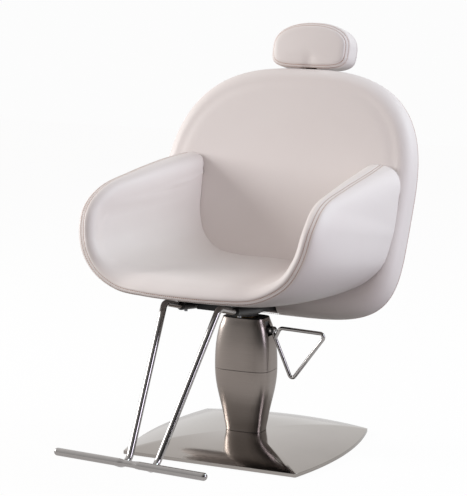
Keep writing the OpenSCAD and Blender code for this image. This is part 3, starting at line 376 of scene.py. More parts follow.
# Raw birch plywood: pale, with long grain across the board
def birchPly():
    look = {"grain": 3, "run": 180, "light": "#CDAE84", "shade": "#B08F65", "smooth": 0.55, "rough": 0.7}
    material, tree, shader, place = newMaterial("birch_ply", {"IOR": 1.5})
    stretch = (perMetre(look["run"]), perMetre(look["grain"]), perMetre(look["grain"]))
    grain = addNode(tree, "ShaderNodeMapping", {"Scale": stretch}, {"Vector": place})
    lines = addNode(tree, "ShaderNodeTexNoise", {
        "Scale": 1, "Detail": 4
    }, {"Vector": grain.outputs["Vector"]})
    dress(tree, shader, lines.outputs["Fac"], look)
    return material


leather, thread = leatherette(), stitchThread()
finishes = {
    "floor_rubber": floorRubber(), "base_steel": primedPlate(), "polished_sheet": polishedSheet(),
    "satin_nickel": satinNickel(), "bright_chrome": brightChrome(), "plain_steel": plainSteel(),
    "black_steel": blackCoat(), "black_plastic": blackPlastic(), "bronze": bearingBronze(),
    "birch_ply": birchPly(), "leatherette": leather
}
for node in nodes.values():
    for holder in node.material_slots:
        slotName = holder.material.name.split(".")[0]
        if slotName in finishes:
            holder.material = finishes[slotName]
        else:
            print("no finish for", node.name, slotName)
print("finishes made")


# Base cover and column covers: the CAD's own forms with finer facets, so that the metal mirrors smoothly

base = {
    "width": 498, "front": 232, "rear": 258, "sideBow": 33, "rearBow": 50, "turn": 4.5,
    "rim": 11.5, "rise": 32.5, "power": 2.4, "foot": 2.3, "sheet": 1.5, "hole": 30,
    "round": 0.8, "roundSteps": 3, "edgeSteps": 48, "rows": 30
}
basePlace = Matrix.Rotation(math.radians(base["turn"]), 4, "Z")


def bowRadius(chord, bow):
    return (chord * chord / 4 + bow * bow) / (2 * bow)


def baseReach(a):  # from the column's axis to the base's edge: a straight front, bowed sides and rear
    x, y = math.cos(a), math.sin(a)
    sideRadius = bowRadius(base["front"] + base["rear"], base["sideBow"])
    rearRadius = bowRadius(base["width"], base["rearBow"])
    sideX = base["width"] / 2 + base["sideBow"] - sideRadius
    sideY = (base["rear"] - base["front"]) / 2
    rearY = base["rear"] + base["rearBow"] - rearRadius
    found = [base["front"] / -y] if y < 0 else []
    for cx, cy, radius in ((sideX, sideY, sideRadius), (-sideX, sideY, sideRadius), (0, rearY, rearRadius)):
        b = x * cx + y * cy
        found.append(b + math.sqrt(b * b - cx * cx - cy * cy + radius * radius))
    return min(found)


def makeBaseCover():
    half = base["width"] / 2
    corners = [math.atan2(-base["front"], half), math.atan2(base["rear"], half)]
    corners += [math.pi - corners[1], math.pi - corners[0], 2 * math.pi + corners[0]]
    steps = base["edgeSteps"]
    angles = [a + (b - a) * j / steps for a, b in zip(corners, corners[1:]) for j in range(steps)]
    reaches = [baseReach(a) for a in angles]

    def ring(share, inset, z):
        row = []
        for a, reach in zip(angles, reaches):
            out = base["hole"] + (reach - base["hole"]) * share - inset
            row.append(basePlace @ Vector((out * math.cos(a), out * math.sin(a), z)))
        return row

    def dome(share):
        return base["rise"] * (1 - share ** base["power"])

    shares = [i / base["rows"] for i in range(base["rows"])]
    sheet, rounding, rim = base["sheet"], base["round"], base["rim"]
    rows = [ring(s, 0, rim + dome(s)) for s in shares]
    for i in range(base["roundSteps"] + 1):
        a = math.pi / 2 * i / base["roundSteps"]
        rows.append(ring(1, rounding * (1 - math.sin(a)), rim - rounding * (1 - math.cos(a))))
    rows += [ring(1, 0, base["foot"]), ring(1, sheet, base["foot"]), ring(1, sheet, rim - sheet)]
    rows += [ring(s, 0, rim - sheet + dome(s)) for s in shares[::-1]]
    piece = newPiece("base_cover_sheet", skinFromRows(rows + [rows[0]], True),
                     finishes["polished_sheet"], "stand")
    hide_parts("base_cover")
    keepEdges(piece)


makeBaseCover()

column = {
    "halfWidth": 81, "halfDepth": 53, "power": 3.8, "wall": 2.5, "round": 0.5, "points": 160, "rows": 36,
    "lower": {"low": 44.3, "high": 214.7, "shares": [0.65, 0.705, 0.77, 0.85, 0.925, 0.978, 1]},
    "upper": {"low": 215.3, "high": 355, "shares": [1, 0.998, 0.985, 0.958, 0.91, 0.842, 0.74]},
    "slot": {"halfWidth": 12.3, "low": 308.5, "high": 346.3}
}


def makeColumnCover(name, part, body, node):
    shares, low, high = part["shares"], part["low"], part["high"]

    def ring(place, inset):  # place runs from 0 at the foot to 1 at the top
        share = along(shares, place * (len(shares) - 1))
        wide, deep = column["halfWidth"] * share - inset, column["halfDepth"] * share - inset
        points = oval(wide, deep, deep, column["power"], column["power"], column["points"])
        return [basePlace @ Vector((x, y, low + (high - low) * place)) for x, y in points]

    bevel = column["round"] / (high - low)
    places = [0, bevel] + [i / column["rows"] for i in range(1, column["rows"])] + [1 - bevel, 1]
    rows = [ring(place, column["round"] if place in (0, 1) else 0) for place in places]
    rows += [ring(place, column["wall"]) for place in places[::-1]]
    bm = skinFromRows(rows + [rows[0]], True)
    piece = newPiece(name, bm, finishes["satin_nickel"], body)
    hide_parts(node)
    return piece


keepEdges(makeColumnCover("lower_cover_shell", column["lower"], "stand", "lower_cover"))
upperPiece = makeColumnCover("upper_cover_shell", column["upper"], "lift", "upper_cover")
slot = column["slot"]  # for the pump lever's bracket
cutOut(upperPiece, [(
    Vector((0, -slot["halfWidth"], slot["low"])),
    Vector((2 * column["halfWidth"], slot["halfWidth"], slot["high"])),
    Matrix.Identity(4)
)])
keepEdges(upperPiece)
print("base and column covers made")


# Backrest: X across, Y into its depth, Z up its leaning front face

back = {
    "halfWidth": 388, "topHeight": 384, "lowHeight": 305, "midUp": 161, "topPower": 2.8, "lowPower": 4.9,
    "thickness": 56, "round": 45, "dish": 10, "hollowShare": 0.88, "lean": math.radians(21.3),
    "foot": Vector((0, 97, 500)), "columns": 288, "faceRows": 44, "roundSteps": 16,
    "crease": 2.6, "creaseOut": 4, "creaseWidth": 15,
    # sewn rear edge: how far each ring is set in, and how far before the edge it lies
    "edge": [(4, 0), (1.5, 1.2), (0.3, 3), (0, 4.2), (0.5, 6), (0, 8)], "stitchRing": 4,
    "footRoom": (Vector((-55, -1, -145)), Vector((55, 57, -92)))  # where the back frame comes out below
}
backPlace = Matrix.Translation(back["foot"]) @ Matrix.Rotation(-back["lean"], 4, "X")


def padRing(inset, share, depth, shape=back):  # one ring of a pad's outline, in the pad's own axes
    wide, up, down = [(shape[key] - inset) * share for key in ("halfWidth", "topHeight", "lowHeight")]
    points = oval(wide, up, down, shape["topPower"], shape["lowPower"], shape["columns"])
    return [Vector((x, depth, shape["midUp"] + z)) for x, z in points]


def backFaceY(x, z):  # depth of the backrest's face at a place of the room, less the gap to the tub
    v = (z - back["foot"].z) / math.cos(back["lean"])
    high = v > back["midUp"]
    exponent = back["topPower"] if high else back["lowPower"]
    across = abs(x) / back["halfWidth"]
    up = abs(v - back["midUp"]) / (back["topHeight"] if high else back["lowHeight"])
    reach = (across ** exponent + up ** exponent) ** (1 / exponent)
    hollow = back["dish"] * max(0, 1 - (reach / back["hollowShare"]) ** 2)
    return (back["foot"].y + (z - back["foot"].z) * math.tan(back["lean"])
            + (hollow - tub["backGap"]) / math.cos(back["lean"]))


# Seat tub: the front seam runs from the middle of the lip up to the rear of each arm,
# and the shares give places along it

tub = {
    "halfWidth": 376, "reach": 344, "floor": 402, "height": 359,
    "rollWidth": 42, "rollLength": 112, "noseOut": 8, "lip": 100, "dish": 10, "backGap": 1.2,
    "padShare": 0.75, "padTaper": 2.2, "padGap": 0.4, "ledge": 0.35, "ledgeFall": 0.3,
    "leanLoops": 2, "near": 0.05, "columns": 130, "evenRows": 40, "hiddenRows": 9,
    "seamX": [0, 0.293, 0.545, 0.75, 0.856, 0.891, 0.88, 0.864, 0.84, 0.798],
    "seamY": [-1, -0.98, -0.936, -0.895, -0.855, -0.767, -0.552, -0.174, 0.262, 0.564],
    "seamZ": [0.156, 0.159, 0.182, 0.296, 0.475, 0.693, 0.838, 0.908, 0.964, 0.992],
    "innerX": [0, 0.213, 0.4, 0.54, 0.612, 0.63, 0.638, 0.643, 0.646, 0.648],
    "innerZ": [0.274, 0.274, 0.304, 0.408, 0.57, 0.69, 0.752, 0.797, 0.825, 0.847],
    "outerX": [0, 0.319, 0.617, 0.811, 0.941, 0.98, 0.985, 0.982, 0.976, 0.97],
    "outerZ": [0, 0.006, 0.073, 0.154, 0.293, 0.482, 0.579, 0.663, 0.73, 0.788],
    "wall": [0, 2, 20, 52, 76, 88, 90, 90, 90, 90],
    "noseWidth": [1, 1, 0.98, 0.88, 0.82, 0.86, 1, 1.24, 1.42, 1.36],
    "noseLength": [1, 0.95, 0.8, 0.5, 0.42, 0.4, 0.37, 0.38, 0.4, 0.4],
    "lipShare": [0.14, 0.16, 0.26, 0.44, 0.6, 0.52, 0.42, 0.46, 0.5, 0.58],
    "belly": [0.06, 0.07, 0.09, 0.12, 0.12, 0.08, 0.05, 0.05, 0.06, 0.08],
    "dishShare": [1, 1, 0.8, 0.3, -0.3, -0.6, -0.6, -0.6, -0.6, -0.6]
}
tubLast = len(tub["seamX"]) - 1
seamRows = [0, 0.8, 1.8, 2.8, 3.7, 4.6, 5.5, 7, 9.5, 14, 20]  # distances from the seam
edgeRows = [4, 2.6, 1.5, 0.7, 0.2, 0]  # distances from the rear edge
stitch = {"row": 5, "pitch": 6, "length": 5, "thread": 1.8, "proud": 0.1, "sides": 6, "rings": 5}
seam = {
    "valley": 0.4, "valleyWidth": 0.9, "dimple": 0.9, "dimpleWidth": 1.2,
    "puff": 0.9, "puffAt": 10.5, "puffWidth": 4.5
}
arm = {"drop": 6, "start": 12, "length": 62, "from": 1.8, "full": 3.4, "last": 6.3, "end": 8, "rear": 130}
frontRoll = {"drop": 5, "at": 38, "width": 26}


def tubX(name, t):
    return along(tub[name], t, True) * tub["halfWidth"]


def tubZ(name, t):
    return tub["floor"] + along(tub[name], t) * tub["height"]


def rearPoint(x, z):
    return Vector((x, backFaceY(x, z), z))


def beforeBack(p):
    return Vector((p.x, min(p.y, backFaceY(p.x, p.z)), p.z))


def seamPoint(t):
    return Vector((tubX("seamX", t), along(tub["seamY"], t) * tub["reach"], tubZ("seamZ", t)))


def wallOut(t):
    a = math.radians(along(tub["wall"], t, True))
    return Vector((math.sin(a), 0, -math.cos(a)))


def rimWay(t):  # in the wall and square to the seam; at the arm's rear it turns into the backrest's face
    near = tub["near"]
    way = Vector((1, 0, 0))
    if t >= near:
        way = (seamPoint(min(t + near, tubLast)) - seamPoint(t - near)).normalized()
    free = wallOut(t).cross(way).normalized()
    turn = max(0, (t - tubLast) / tub["leanLoops"] + 1)
    lean = Vector((0, math.sin(back["lean"]), math.cos(back["lean"])))
    return free.lerp(lean, turn * turn * (3 - 2 * turn)).normalized()


def innerFace(t, steps=40, noseSteps=24):  # from the rear edge over the rolled edge to the seam
    rear = rearPoint(tubX("innerX", t), tubZ("innerZ", t))
    out, front, sewn = wallOut(t), rimWay(t), seamPoint(t)
    edge = sewn - out * along(tub["noseWidth"], t) * tub["rollWidth"]
    fall = front * along(tub["noseLength"], t) * tub["rollLength"]
    start = edge - fall
    a = rear + (start - rear) / 3 + out * tub["dish"] * along(tub["dishShare"], t)
    b = start + (rear - start) * tub["ledge"] - fall * tub["ledgeFall"]
    top = edge + front * tub["noseOut"]
    points = [curvePoint(rear, a, b, start, i / steps) for i in range(steps)]
    for i in range(noseSteps + 1):
        u = i / noseSteps
        points.append(start * (1 - u) ** 2 + top * 2 * u * (1 - u) + sewn * u * u)
    return [beforeBack(p) for p in points]


def outerFace(t, steps=60):  # from the seam to the rear edge
    rear = rearPoint(tubX("outerX", t), tubZ("outerZ", t))
    out, sewn = wallOut(t), seamPoint(t)
    a = sewn + out * along(tub["lipShare"], t) * tub["lip"]
    b = rear + (a - rear) / 3 + out * along(tub["belly"], t) * tub["lip"]
    return [beforeBack(curvePoint(sewn, a, b, rear, i / steps)) for i in range(steps + 1)]


def rowsFrom(points, count):  # fine rows at the seam and the rear edge, even ones between
    length = lengthOf(points)
    first, last = seamRows[-1], length - edgeRows[0]
    even = [first + (last - first) * i / count for i in range(1, count)]
    distances = seamRows + even + [length - e for e in edgeRows]
    return resample(points, distances), distances, length


def seamHeight(distance, length):  # valley at the seam, dimple under the stitches, rounded rear edge
    r = edgeRows[0]
    rest = max(0, r - (length - distance))
    rolled = -(r - math.sqrt(r * r - rest * rest))
    return (rolled - seam["valley"] * hump(distance, 0, seam["valleyWidth"])
            - seam["dimple"] * hump(distance, seamRows[stitch["row"]], seam["dimpleWidth"])
            + seam["puff"] * hump(distance, seam["puffAt"], seam["puffWidth"]))


def softStep(share):
    share = min(max(share, 0), 1)
    return share * share * (3 - 2 * share)


def innerHeight(distance, length, t):  # a wide hollow inside the arms' rims, a fuller roll at the front
    share = softStep((t - arm["from"]) / (arm["full"] - arm["from"]))
    over = 1 - softStep((t - arm["last"]) / (arm["end"] - arm["last"]))
    hollow = softStep((distance - arm["start"]) / arm["length"]) * softStep((length - distance) / arm["rear"])
    front = hump(distance, frontRoll["at"], frontRoll["width"])
    return -share * over * arm["drop"] * hollow - (1 - share) * frontRoll["drop"] * front


tubCurves = {}


def curvesAt(i):  # both faces of the tub at one of its loops
    if i not in tubCurves:
        t = i * tubLast / tub["columns"]
        inside, outside = innerFace(t), outerFace(t)
        shares = [k / tub["hiddenRows"] for k in range(1, tub["hiddenRows"] + 1)]
        mirrored = inside[::-1]
        tubCurves[i] = (
            inside, outside,
            resample(outside, [u * lengthOf(outside) for u in shares]),
            resample(mirrored, [u * lengthOf(mirrored) for u in shares])
        )
    return tubCurves[i]


def upholstered(inner):  # raised rows of the visible face, their normals, and the rows behind them
    plain, heights, hidden = [], [], []
    for i in range(-tub["columns"], tub["columns"] + 1):
        t = abs(i) * tubLast / tub["columns"]
        side = Matrix.Diagonal((-1 if i < 0 else 1, 1, 1))
        inside, outside, fewOutside, fewInside = curvesAt(abs(i))
        points = inside[::-1] if inner else outside
        row, distances, length = rowsFrom(points, tub["evenRows"])
        plain.append([side @ p for p in row])
        heights.append([
            seamHeight(d, length) + (innerHeight(d, length, t) if inner else 0) for d in distances
        ])
        behind = []
        for k in range(tub["hiddenRows"], 0, -1):
            u = k / tub["hiddenRows"]
            a, b = fewOutside[k - 1], fewInside[k - 1]
            share = (1 - tub["padShare"]) * min(1, tub["padTaper"] * u)
            gap = (b - a).normalized() * (tub["padGap"] if inner else 0)
            behind.append(side @ (a.lerp(b, share) + gap))
        hidden.append(behind)
    flip = 1 if inner else -1
    normals = [[n * flip for n in line] for line in normalsOf(plain, False)]
    raised = []
    for row, line, lift in zip(plain, normals, heights):
        raised.append([p + n * h for p, n, h in zip(row, line, lift)])
    return raised, normals, hidden


def sewRow(bm, points, normals, closed=False):  # a row of stitches along a line of points
    loop = points + ([points[0]] if closed else [])
    facing = normals + ([normals[0]] if closed else [])
    total = lengthOf(loop)
    count = int(total / stitch["pitch"])
    pitch = total / count
    starts, walked = [], 0
    for a, b in zip(loop, loop[1:]):
        starts.append(walked)
        walked += (b - a).length
    i = 0
    for k in range(count):
        walked = (k + 0.5) * pitch
        while i < len(starts) - 1 and starts[i + 1] < walked:
            i += 1
        way = (loop[i + 1] - loop[i]).normalized()
        share = (walked - starts[i]) / (loop[i + 1] - loop[i]).length
        up = facing[i].lerp(facing[i + 1], share).normalized()
        centre = loop[i].lerp(loop[i + 1], share) + up * stitch["proud"]
        across = up.cross(way).normalized()
        up = way.cross(across)
        turn = Matrix((way, across, up)).transposed().to_4x4()
        lying = Matrix.Rotation(math.pi / 2, 4, "Y")
        size = Matrix.Diagonal((stitch["thread"] / 2, stitch["thread"] / 2, stitch["length"] / 2, 1))
        place = Matrix.Translation(centre) @ turn @ lying @ size
        bmesh.ops.create_uvsphere(
            bm, u_segments=stitch["sides"], v_segments=stitch["rings"], radius=1, matrix=place)


def makeTub():
    stitches, pieces = bmesh.new(), {}
    for name, inner, node in (
        ("seat_upholstery", True, "seat_pad"),
        ("shell_upholstery", False, "seat_shell")
    ):
        raised, normals, hidden = upholstered(inner)
        bm = skinFromRows([a + b for a, b in zip(raised, hidden)], True)
        closeHoles(bm)
        pieces[name] = newPiece(name, bm, leather, "seat")
        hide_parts(node)
        row = stitch["row"]
        sewRow(stitches, [line[row] for line in raised], [line[row] for line in normals])
    newPiece("tub_stitches", stitches, thread, "seat")
    return pieces


seatFrame = {
    "top": 408, "rake": math.radians(6.5), "halfWidth": 100, "front": 190, "rear": 30,
    "room": 3, "drop": 18, "over": 0.3
}
framePlace = Matrix.Translation((0, 0, seatFrame["top"])) @ Matrix.Rotation(-seatFrame["rake"], 4, "X")
frameSide = seatFrame["halfWidth"] + seatFrame["room"]
cutOut(makeTub()["shell_upholstery"], [(
    Vector((-frameSide, -seatFrame["front"] - seatFrame["room"], -seatFrame["drop"])),
    Vector((frameSide, seatFrame["rear"] + seatFrame["room"], seatFrame["over"])),
    framePlace
)])
print("tub made")


# Backrest pad and cover

def placedRings(shape, profile, place):  # a profile of (inset, share, depth) as rings in the room
    return [[place @ p for p in padRing(inset, share, depth, shape)] for inset, share, depth in profile]


def closedBody(rows, first, last):  # rings joined side by side, each end closed by a fan to a point
    bm = skinFromRows(rows, True)
    loops = [[], []]
    for edge in [e for e in bm.edges if e.is_boundary]:
        near = min((edge.verts[0].co - p).length for p in rows[0]) < weld
        loops[0 if near else 1].append(edge)
    for centre, loop in zip((first, last), loops):
        tip = bm.verts.new(centre)
        for edge in loop:
            bm.faces.new((edge.verts[0], edge.verts[1], tip))
    return bm


def makeBack():
    r, t = back["round"], back["thickness"]
    profile = [(inset, 1, t - before) for inset, before in back["edge"]] + [(0, 1, r)]
    for i in range(1, back["roundSteps"] + 1):
        a = math.pi / 2 * i / back["roundSteps"]
        profile.append((r * (1 - math.cos(a)), 1, r * (1 - math.sin(a))))
    for i in range(1, back["faceRows"]):
        s = 1 - i / back["faceRows"]
        profile.append((r, s, back["dish"] * (1 - s * s)))
    creased = []
    for inset, share, depth in profile:
        if depth < r:
            out = (1 - share) * back["halfWidth"] + inset
            depth += back["crease"] * hump(out, r + back["creaseOut"], back["creaseWidth"])
        creased.append((inset, share, depth))
    rows = placedRings(back, creased, backPlace)
    normals = normalsOf(rows, True)
    behind = backPlace @ Vector((0, t, back["midUp"]))
    before = backPlace @ Vector((0, back["dish"], back["midUp"]))
    bm = closedBody(rows, behind, before)
    piece = newPiece("back_upholstery", bm, leather, "backrest")
    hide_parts("back_pad")
    cutOut(piece, [(*back["footRoom"], backPlace)])
    bm = bmesh.new()
    line = back["stitchRing"]
    sign = -1 if normals[line][0].z > 0 else 1  # a ring starts at its lowest point
    sewRow(bm, rows[line], [n * sign for n in normals[line]], closed=True)
    newPiece("back_stitches", bm, thread, "backrest")


cover = {
    "crown": 17, "rim": 11, "thickness": 3.5, "inset": 4, "round": 7, "foot": 5, "gap": 0.3,
    "roundSteps": 8, "crownRows": 24,
    "postSlot": [  # for the headrest's post and, above, for its guide
        (Vector((-15.3, 62, 465)), Vector((15.3, 68.6, 560))),
        (Vector((-15.3, 62, 507.5)), Vector((15.3, 85, 560)))
    ]
}


def makeBackCover():
    front = back["thickness"] + cover["gap"]
    steps, crownRows = cover["roundSteps"], cover["crownRows"]
    outer = [(cover["foot"], 1, front)]
    for i in range(steps + 1):
        a = math.pi / 2 * i / steps
        outer.append((cover["inset"] + cover["round"] * (1 - math.cos(a)), 1,
                      front + cover["rim"] - cover["round"] + cover["round"] * math.sin(a)))
    for i in range(1, crownRows):
        s = 1 - i / crownRows
        outer.append((cover["rim"], s, front + cover["rim"] + cover["crown"] * (1 - s * s)))
    inner = [(cover["foot"] + cover["thickness"], 1, front),
             (cover["foot"] + cover["thickness"], 1, front + cover["rim"] - cover["thickness"])]
    for i in range(1, crownRows):
        s = 1 - i / crownRows
        depth = front + cover["rim"] - cover["thickness"] + cover["crown"] * (1 - s * s)
        inner.append((cover["rim"], s, depth))
    rows = placedRings(back, outer[::-1] + inner, backPlace)
    top = front + cover["rim"] + cover["crown"]
    bm = closedBody(rows, backPlace @ Vector((0, top, back["midUp"])),
                    backPlace @ Vector((0, top - cover["thickness"], back["midUp"])))
    piece = newPiece("back_cover_upholstery", bm, leather, "backrest")
    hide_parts("back_cover")
    cutOut(piece, [(lowest, highest, backPlace) for lowest, highest in cover["postSlot"]])


makeBack()
makeBackCover()
print("backrest made")


# Headrest: the origin is on its tilt pin, Z up its leaning front face

head = {
    "halfWidth": 123, "topHeight": 71, "lowHeight": 59, "midUp": 12, "topPower": 2.25, "lowPower": 4.2,
    "round": 30, "front": 38, "split": 17, "rear": 34, "crown": 3, "rearCrown": 4, "columns": 200,
    "lean": math.radians(14), "pivot": Vector((0, 375.79, 1035.3)), "seamTurn": math.radians(42),
    "dent": 3.6, "dentX": 6, "dentUp": 10, "dentWidth": 17, "dentHeight": 26,
    "sag": 4, "sagAt": -28, "sagWidth": 9, "sagRise": 1.6,
    "edge": [(2, 0), (0.4, 1.2), (0, 3)], "sideAt": 4, "cornerGap": 2,  # rings from the split to the corner
    "seamRows": 9, "quarterSteps": 14, "seamClear": 11, "faceRows": 20,
    "farEdge": 400,  # so far off that seamHeight rolls no rear edge here
    "gap": 0.3, "rearInset": 1.5, "rearRows": 16, "rearSteps": 10,
    "bracketRoom": (Vector((-26, -23, -60)), Vector((26, 23, 16)))
}
headPlace = Matrix.Translation(head["pivot"]) @ Matrix.Rotation(-head["lean"], 4, "X")


def makeHead():
    r, flat = head["round"], head["round"] - head["front"]
    seamAt = r * head["seamTurn"]
    quarter = r * math.pi / 2
    nearSeam = [seamAt + side * d for d in seamRows[:head["seamRows"]] for side in (-1, 1) if d or side > 0]
    even = [quarter * i / head["quarterSteps"] for i in range(head["quarterSteps"] + 1)]
    distances = sorted(nearSeam + [d for d in even if abs(d - seamAt) > head["seamClear"]])
    distances = [d for d in distances if 0 <= d <= quarter]
    profile = [(inset, 1, head["split"] - before) for inset, before in head["edge"]]
    profile += [(0, 1, head["sideAt"]), (0, 1, flat + head["cornerGap"])]
    offsets = [0] * len(profile)
    for d in distances:
        a = d / r
        profile.append((r * (1 - math.cos(a)), 1, flat - r * math.sin(a)))
        offsets.append(abs(d - seamAt))
    for i in range(1, head["faceRows"]):
        s = 1 - i / head["faceRows"]
        profile.append((r, s, -head["front"] - head["crown"] * (1 - s * s)))
        offsets.append(0)
    local = [padRing(inset, share, depth, head) for inset, share, depth in profile]
    normals = normalsOf(local, True)
    sign = -1 if normals[len(head["edge"])][0].z > 0 else 1  # a ring starts at its lowest point
    rows = []
    for row, line, offset, (inset, share, depth) in zip(local, normals, offsets, profile):
        raised = []
        for p, n in zip(row, line):
            lift = 0
            if offset or abs(inset - r * (1 - math.cos(head["seamTurn"]))) < weld:
                lift = seamHeight(offset, head["farEdge"])
            low = head["midUp"] - head["lowHeight"]
            dent = 0
            if depth < flat:
                dent = head["dent"] * hump(p.x, head["dentX"], head["dentWidth"])
                dent *= hump(p.z, low + head["dentUp"], head["dentHeight"])
            under = softStep((head["midUp"] - p.z) / head["lowHeight"] * head["sagRise"])
            sag = head["sag"] * hump(depth, head["sagAt"], head["sagWidth"]) * under
            raised.append(headPlace @ (p + n * sign * lift + Vector((0, dent, -sag))))
        rows.append(raised)
    bm = closedBody(rows, headPlace @ Vector((0, head["split"], head["midUp"])),
                    headPlace @ Vector((0, -head["front"] - head["crown"], head["midUp"])))
    piece = newPiece("headrest_upholstery", bm, leather, "headrest")
    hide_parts("headrest_pad")
    notch = (*head["bracketRoom"], headPlace)
    cutOut(piece, [notch])
    bm = bmesh.new()
    turn = headPlace.to_3x3()
    for side in (-1, 1):
        target = seamAt + side * seamRows[stitch["row"]]
        inset, depth = r * (1 - math.cos(target / r)), flat - r * math.sin(target / r)
        line = min(range(len(profile)), key=lambda k: abs(profile[k][0] - inset) + abs(profile[k][2] - depth))
        sewRow(bm, rows[line], [turn @ (n * sign) for n in normals[line]], closed=True)
    newPiece("headrest_stitches", bm, thread, "headrest")

    radius = head["rear"] - head["split"] - head["gap"]
    profile = []
    for i in range(1, head["rearRows"]):
        s = i / head["rearRows"]
        profile.append((radius, s, head["rear"] + head["rearCrown"] * (1 - s * s)))
    for i in range(head["rearSteps"] + 1):
        a = math.pi / 2 * (1 - i / head["rearSteps"])
        profile.append((radius * (1 - math.cos(a)), 1, head["rear"] - radius + radius * math.sin(a)))
    profile.append((head["rearInset"], 1, head["split"] + head["gap"]))
    rows = placedRings(head, profile, headPlace)
    bm = closedBody(rows, headPlace @ Vector((0, head["rear"] + head["rearCrown"], head["midUp"])),
                    headPlace @ Vector((0, head["split"] + head["gap"], head["midUp"])))
    piece = newPiece("headrest_rear_upholstery", bm, leather, "headrest")
    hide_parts("headrest_cover")
    cutOut(piece, [notch])


makeHead()
print("headrest made")


# Floor, light and camera

studio = {
    "floor": 14, "paleTone": "#F4F3F2", "dimTone": "#7D7B79",
    "white": 0.95,  # share of plain white in the floor that the camera sees
    "mirrored": 0.55,  # how much of that floor shows in metal
    "far": 0.975, "world": 0.45, "worldTone": "#FFF4F2",  # backdrop as seen, and as light on matt pieces
    "brightWay": (-0.9, 0.42, 0.1), "darkSide": 0.06, "darkTo": -0.85, "brightFrom": 0.95,
    "aim": Vector((0, 0, 0.6)), "distance": 4.2,  # metres; each lamp's turn is from +X, its rise above level
    "left": {"turn": -160, "rise": 15, "size": 1.8, "power": 145, "tone": "#FFFFFF"},
    "right": {"turn": 0, "rise": 15, "size": 1.8, "power": 58, "tone": "#EFEDFF"},
    "rear": {"turn": 30, "rise": 40, "size": 1.8, "power": 72, "tone": "#E5F9FF"}
}


def paleFloor():
    bm = bmesh.new()
    bmesh.ops.create_grid(bm, x_segments=1, y_segments=1, size=studio["floor"] / 2)
    mesh = bpy.data.meshes.new("floor")
    bm.to_mesh(mesh)
    bm.free()
    floor = bpy.data.objects.new("floor", mesh)
    bpy.context.scene.collection.objects.link(floor)
    material = bpy.data.materials.new("studio_floor")
    material.use_nodes = True
    tree = material.node_tree
    tree.nodes.remove(tree.nodes["Principled BSDF"])
    output = tree.nodes["Material Output"]
    white = addNode(tree, "ShaderNodeEmission", {"Strength": 1})
    seen = seenRays(tree)
    tone = addNode(tree, "ShaderNodeMix", {
        "data_type": "RGBA", 6: toLinear(studio["dimTone"]), 7: toLinear(studio["paleTone"])}, {0: seen})
    matt = addNode(tree, "ShaderNodeBsdfDiffuse", {}, {"Color": tone.outputs[2]})
    share = addNode(tree, "ShaderNodeMath", {"operation": "MULTIPLY", 1: studio["white"]}, {0: seen})
    mix = addNode(tree, "ShaderNodeMixShader", {}, {
        0: share.outputs[0], 1: matt.outputs[0], 2: white.outputs[0]
    })
    tree.links.new(mix.outputs[0], output.inputs["Surface"])
    mesh.materials.append(material)


def seenRays(tree):  # 1 for rays from the camera or through glass, less for rays from a mirror
    path = addNode(tree, "ShaderNodeLightPath")
    mirrored = addNode(tree, "ShaderNodeMath", {"operation": "MULTIPLY", 1: studio["mirrored"]},
                       {0: path.outputs["Is Glossy Ray"]})
    some = addNode(tree, "ShaderNodeMath", {"operation": "MAXIMUM"},
                   {0: path.outputs["Is Camera Ray"], 1: mirrored.outputs[0]})
    return addNode(tree, "ShaderNodeMath", {"operation": "MAXIMUM"},
                   {0: some.outputs[0], 1: path.outputs["Is Transmission Ray"]}).outputs[0]


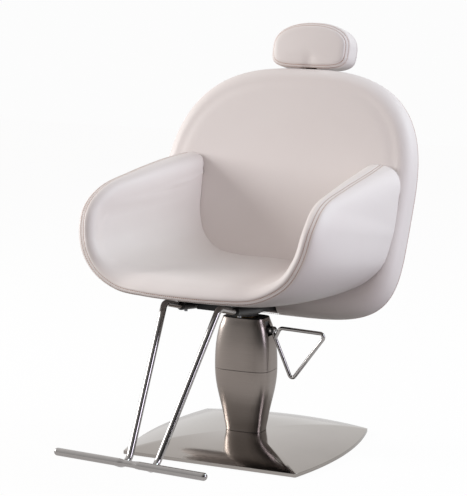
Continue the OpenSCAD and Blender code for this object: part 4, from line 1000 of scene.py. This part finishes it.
def paleWorld():  # white where it is seen; metal mirrors a room with a bright side and a dark one
    world = bpy.data.worlds.new("studio")
    world.use_nodes = True
    tree = world.node_tree
    shader = tree.nodes["Background"]
    path = addNode(tree, "ShaderNodeLightPath")
    way = addNode(tree, "ShaderNodeTexCoord").outputs["Generated"]
    facing = addNode(tree, "ShaderNodeVectorMath", {
        "operation": "DOT_PRODUCT", 1: studio["brightWay"]
    }, {0: way})
    room = addNode(tree, "ShaderNodeMapRange", {
        "interpolation_type": "SMOOTHSTEP", "From Min": studio["darkTo"], "From Max": studio["brightFrom"],
        "To Min": studio["darkSide"], "To Max": 1}, {"Value": facing.outputs["Value"]})
    mirror = addNode(tree, "ShaderNodeMath", {"operation": "MULTIPLY"},
                     {0: path.outputs["Is Glossy Ray"], 1: room.outputs[0]})
    clear = addNode(tree, "ShaderNodeMath", {"operation": "MAXIMUM"},
                    {0: path.outputs["Is Camera Ray"], 1: path.outputs["Is Transmission Ray"]})
    plain = addNode(tree, "ShaderNodeMath", {
        "operation": "MULTIPLY", 1: studio["far"]
    }, {0: clear.outputs[0]})
    soft = addNode(tree, "ShaderNodeMath", {"operation": "MULTIPLY", 1: studio["world"]},
                   {0: path.outputs["Is Diffuse Ray"]})
    some = addNode(tree, "ShaderNodeMath", {
        "operation": "MAXIMUM"
    }, {0: mirror.outputs[0], 1: plain.outputs[0]})
    strength = addNode(tree, "ShaderNodeMath", {
        "operation": "MAXIMUM"
    }, {0: some.outputs[0], 1: soft.outputs[0]})
    tone = addNode(tree, "ShaderNodeMix", {
        "data_type": "RGBA", 6: toLinear("#FFFFFF"), 7: toLinear(studio["worldTone"])},
        {0: path.outputs["Is Diffuse Ray"]})
    tree.links.new(tone.outputs[2], shader.inputs["Color"])
    tree.links.new(strength.outputs[0], shader.inputs["Strength"])
    bpy.context.scene.world = world


def softLamp(name, look):
    lamp = bpy.data.lights.new(name, "AREA")
    lamp.size, lamp.energy = look["size"], look["power"]
    lamp.color = toLinear(look["tone"])[:3]
    holder = bpy.data.objects.new(name, lamp)
    turn, rise = math.radians(look["turn"]), math.radians(look["rise"])
    way = Vector((math.cos(turn) * math.cos(rise), math.sin(turn) * math.cos(rise), math.sin(rise)))
    holder.location = studio["aim"] + way * studio["distance"]
    holder.rotation_euler = way.to_track_quat("Z", "Y").to_euler()
    bpy.context.scene.collection.objects.link(holder)


paleFloor()
paleWorld()
for lampName in ("left", "right", "rear"):
    softLamp(lampName, studio[lampName])

view = {  # metres and degrees; focus and tall are in the photograph's pixels
    "place": (2.385, -4.116, 1.341), "turn": (90 - 9.57, 0, 30.5), "focus": 1815.8, "tall": 496,
    "sensor": 36, "far": 60
}
camera = bpy.data.objects.new("camera", bpy.data.cameras.new("camera"))
camera.location = view["place"]
camera.rotation_euler = [math.radians(a) for a in view["turn"]]
camera.data.sensor_width = view["sensor"]
camera.data.lens = view["focus"] / view["tall"] * view["sensor"]
camera.data.clip_end = view["far"]
bpy.context.scene.collection.objects.link(camera)
bpy.context.scene.camera = camera
bpy.context.scene.view_settings.view_transform = "Standard"
print("studio made")
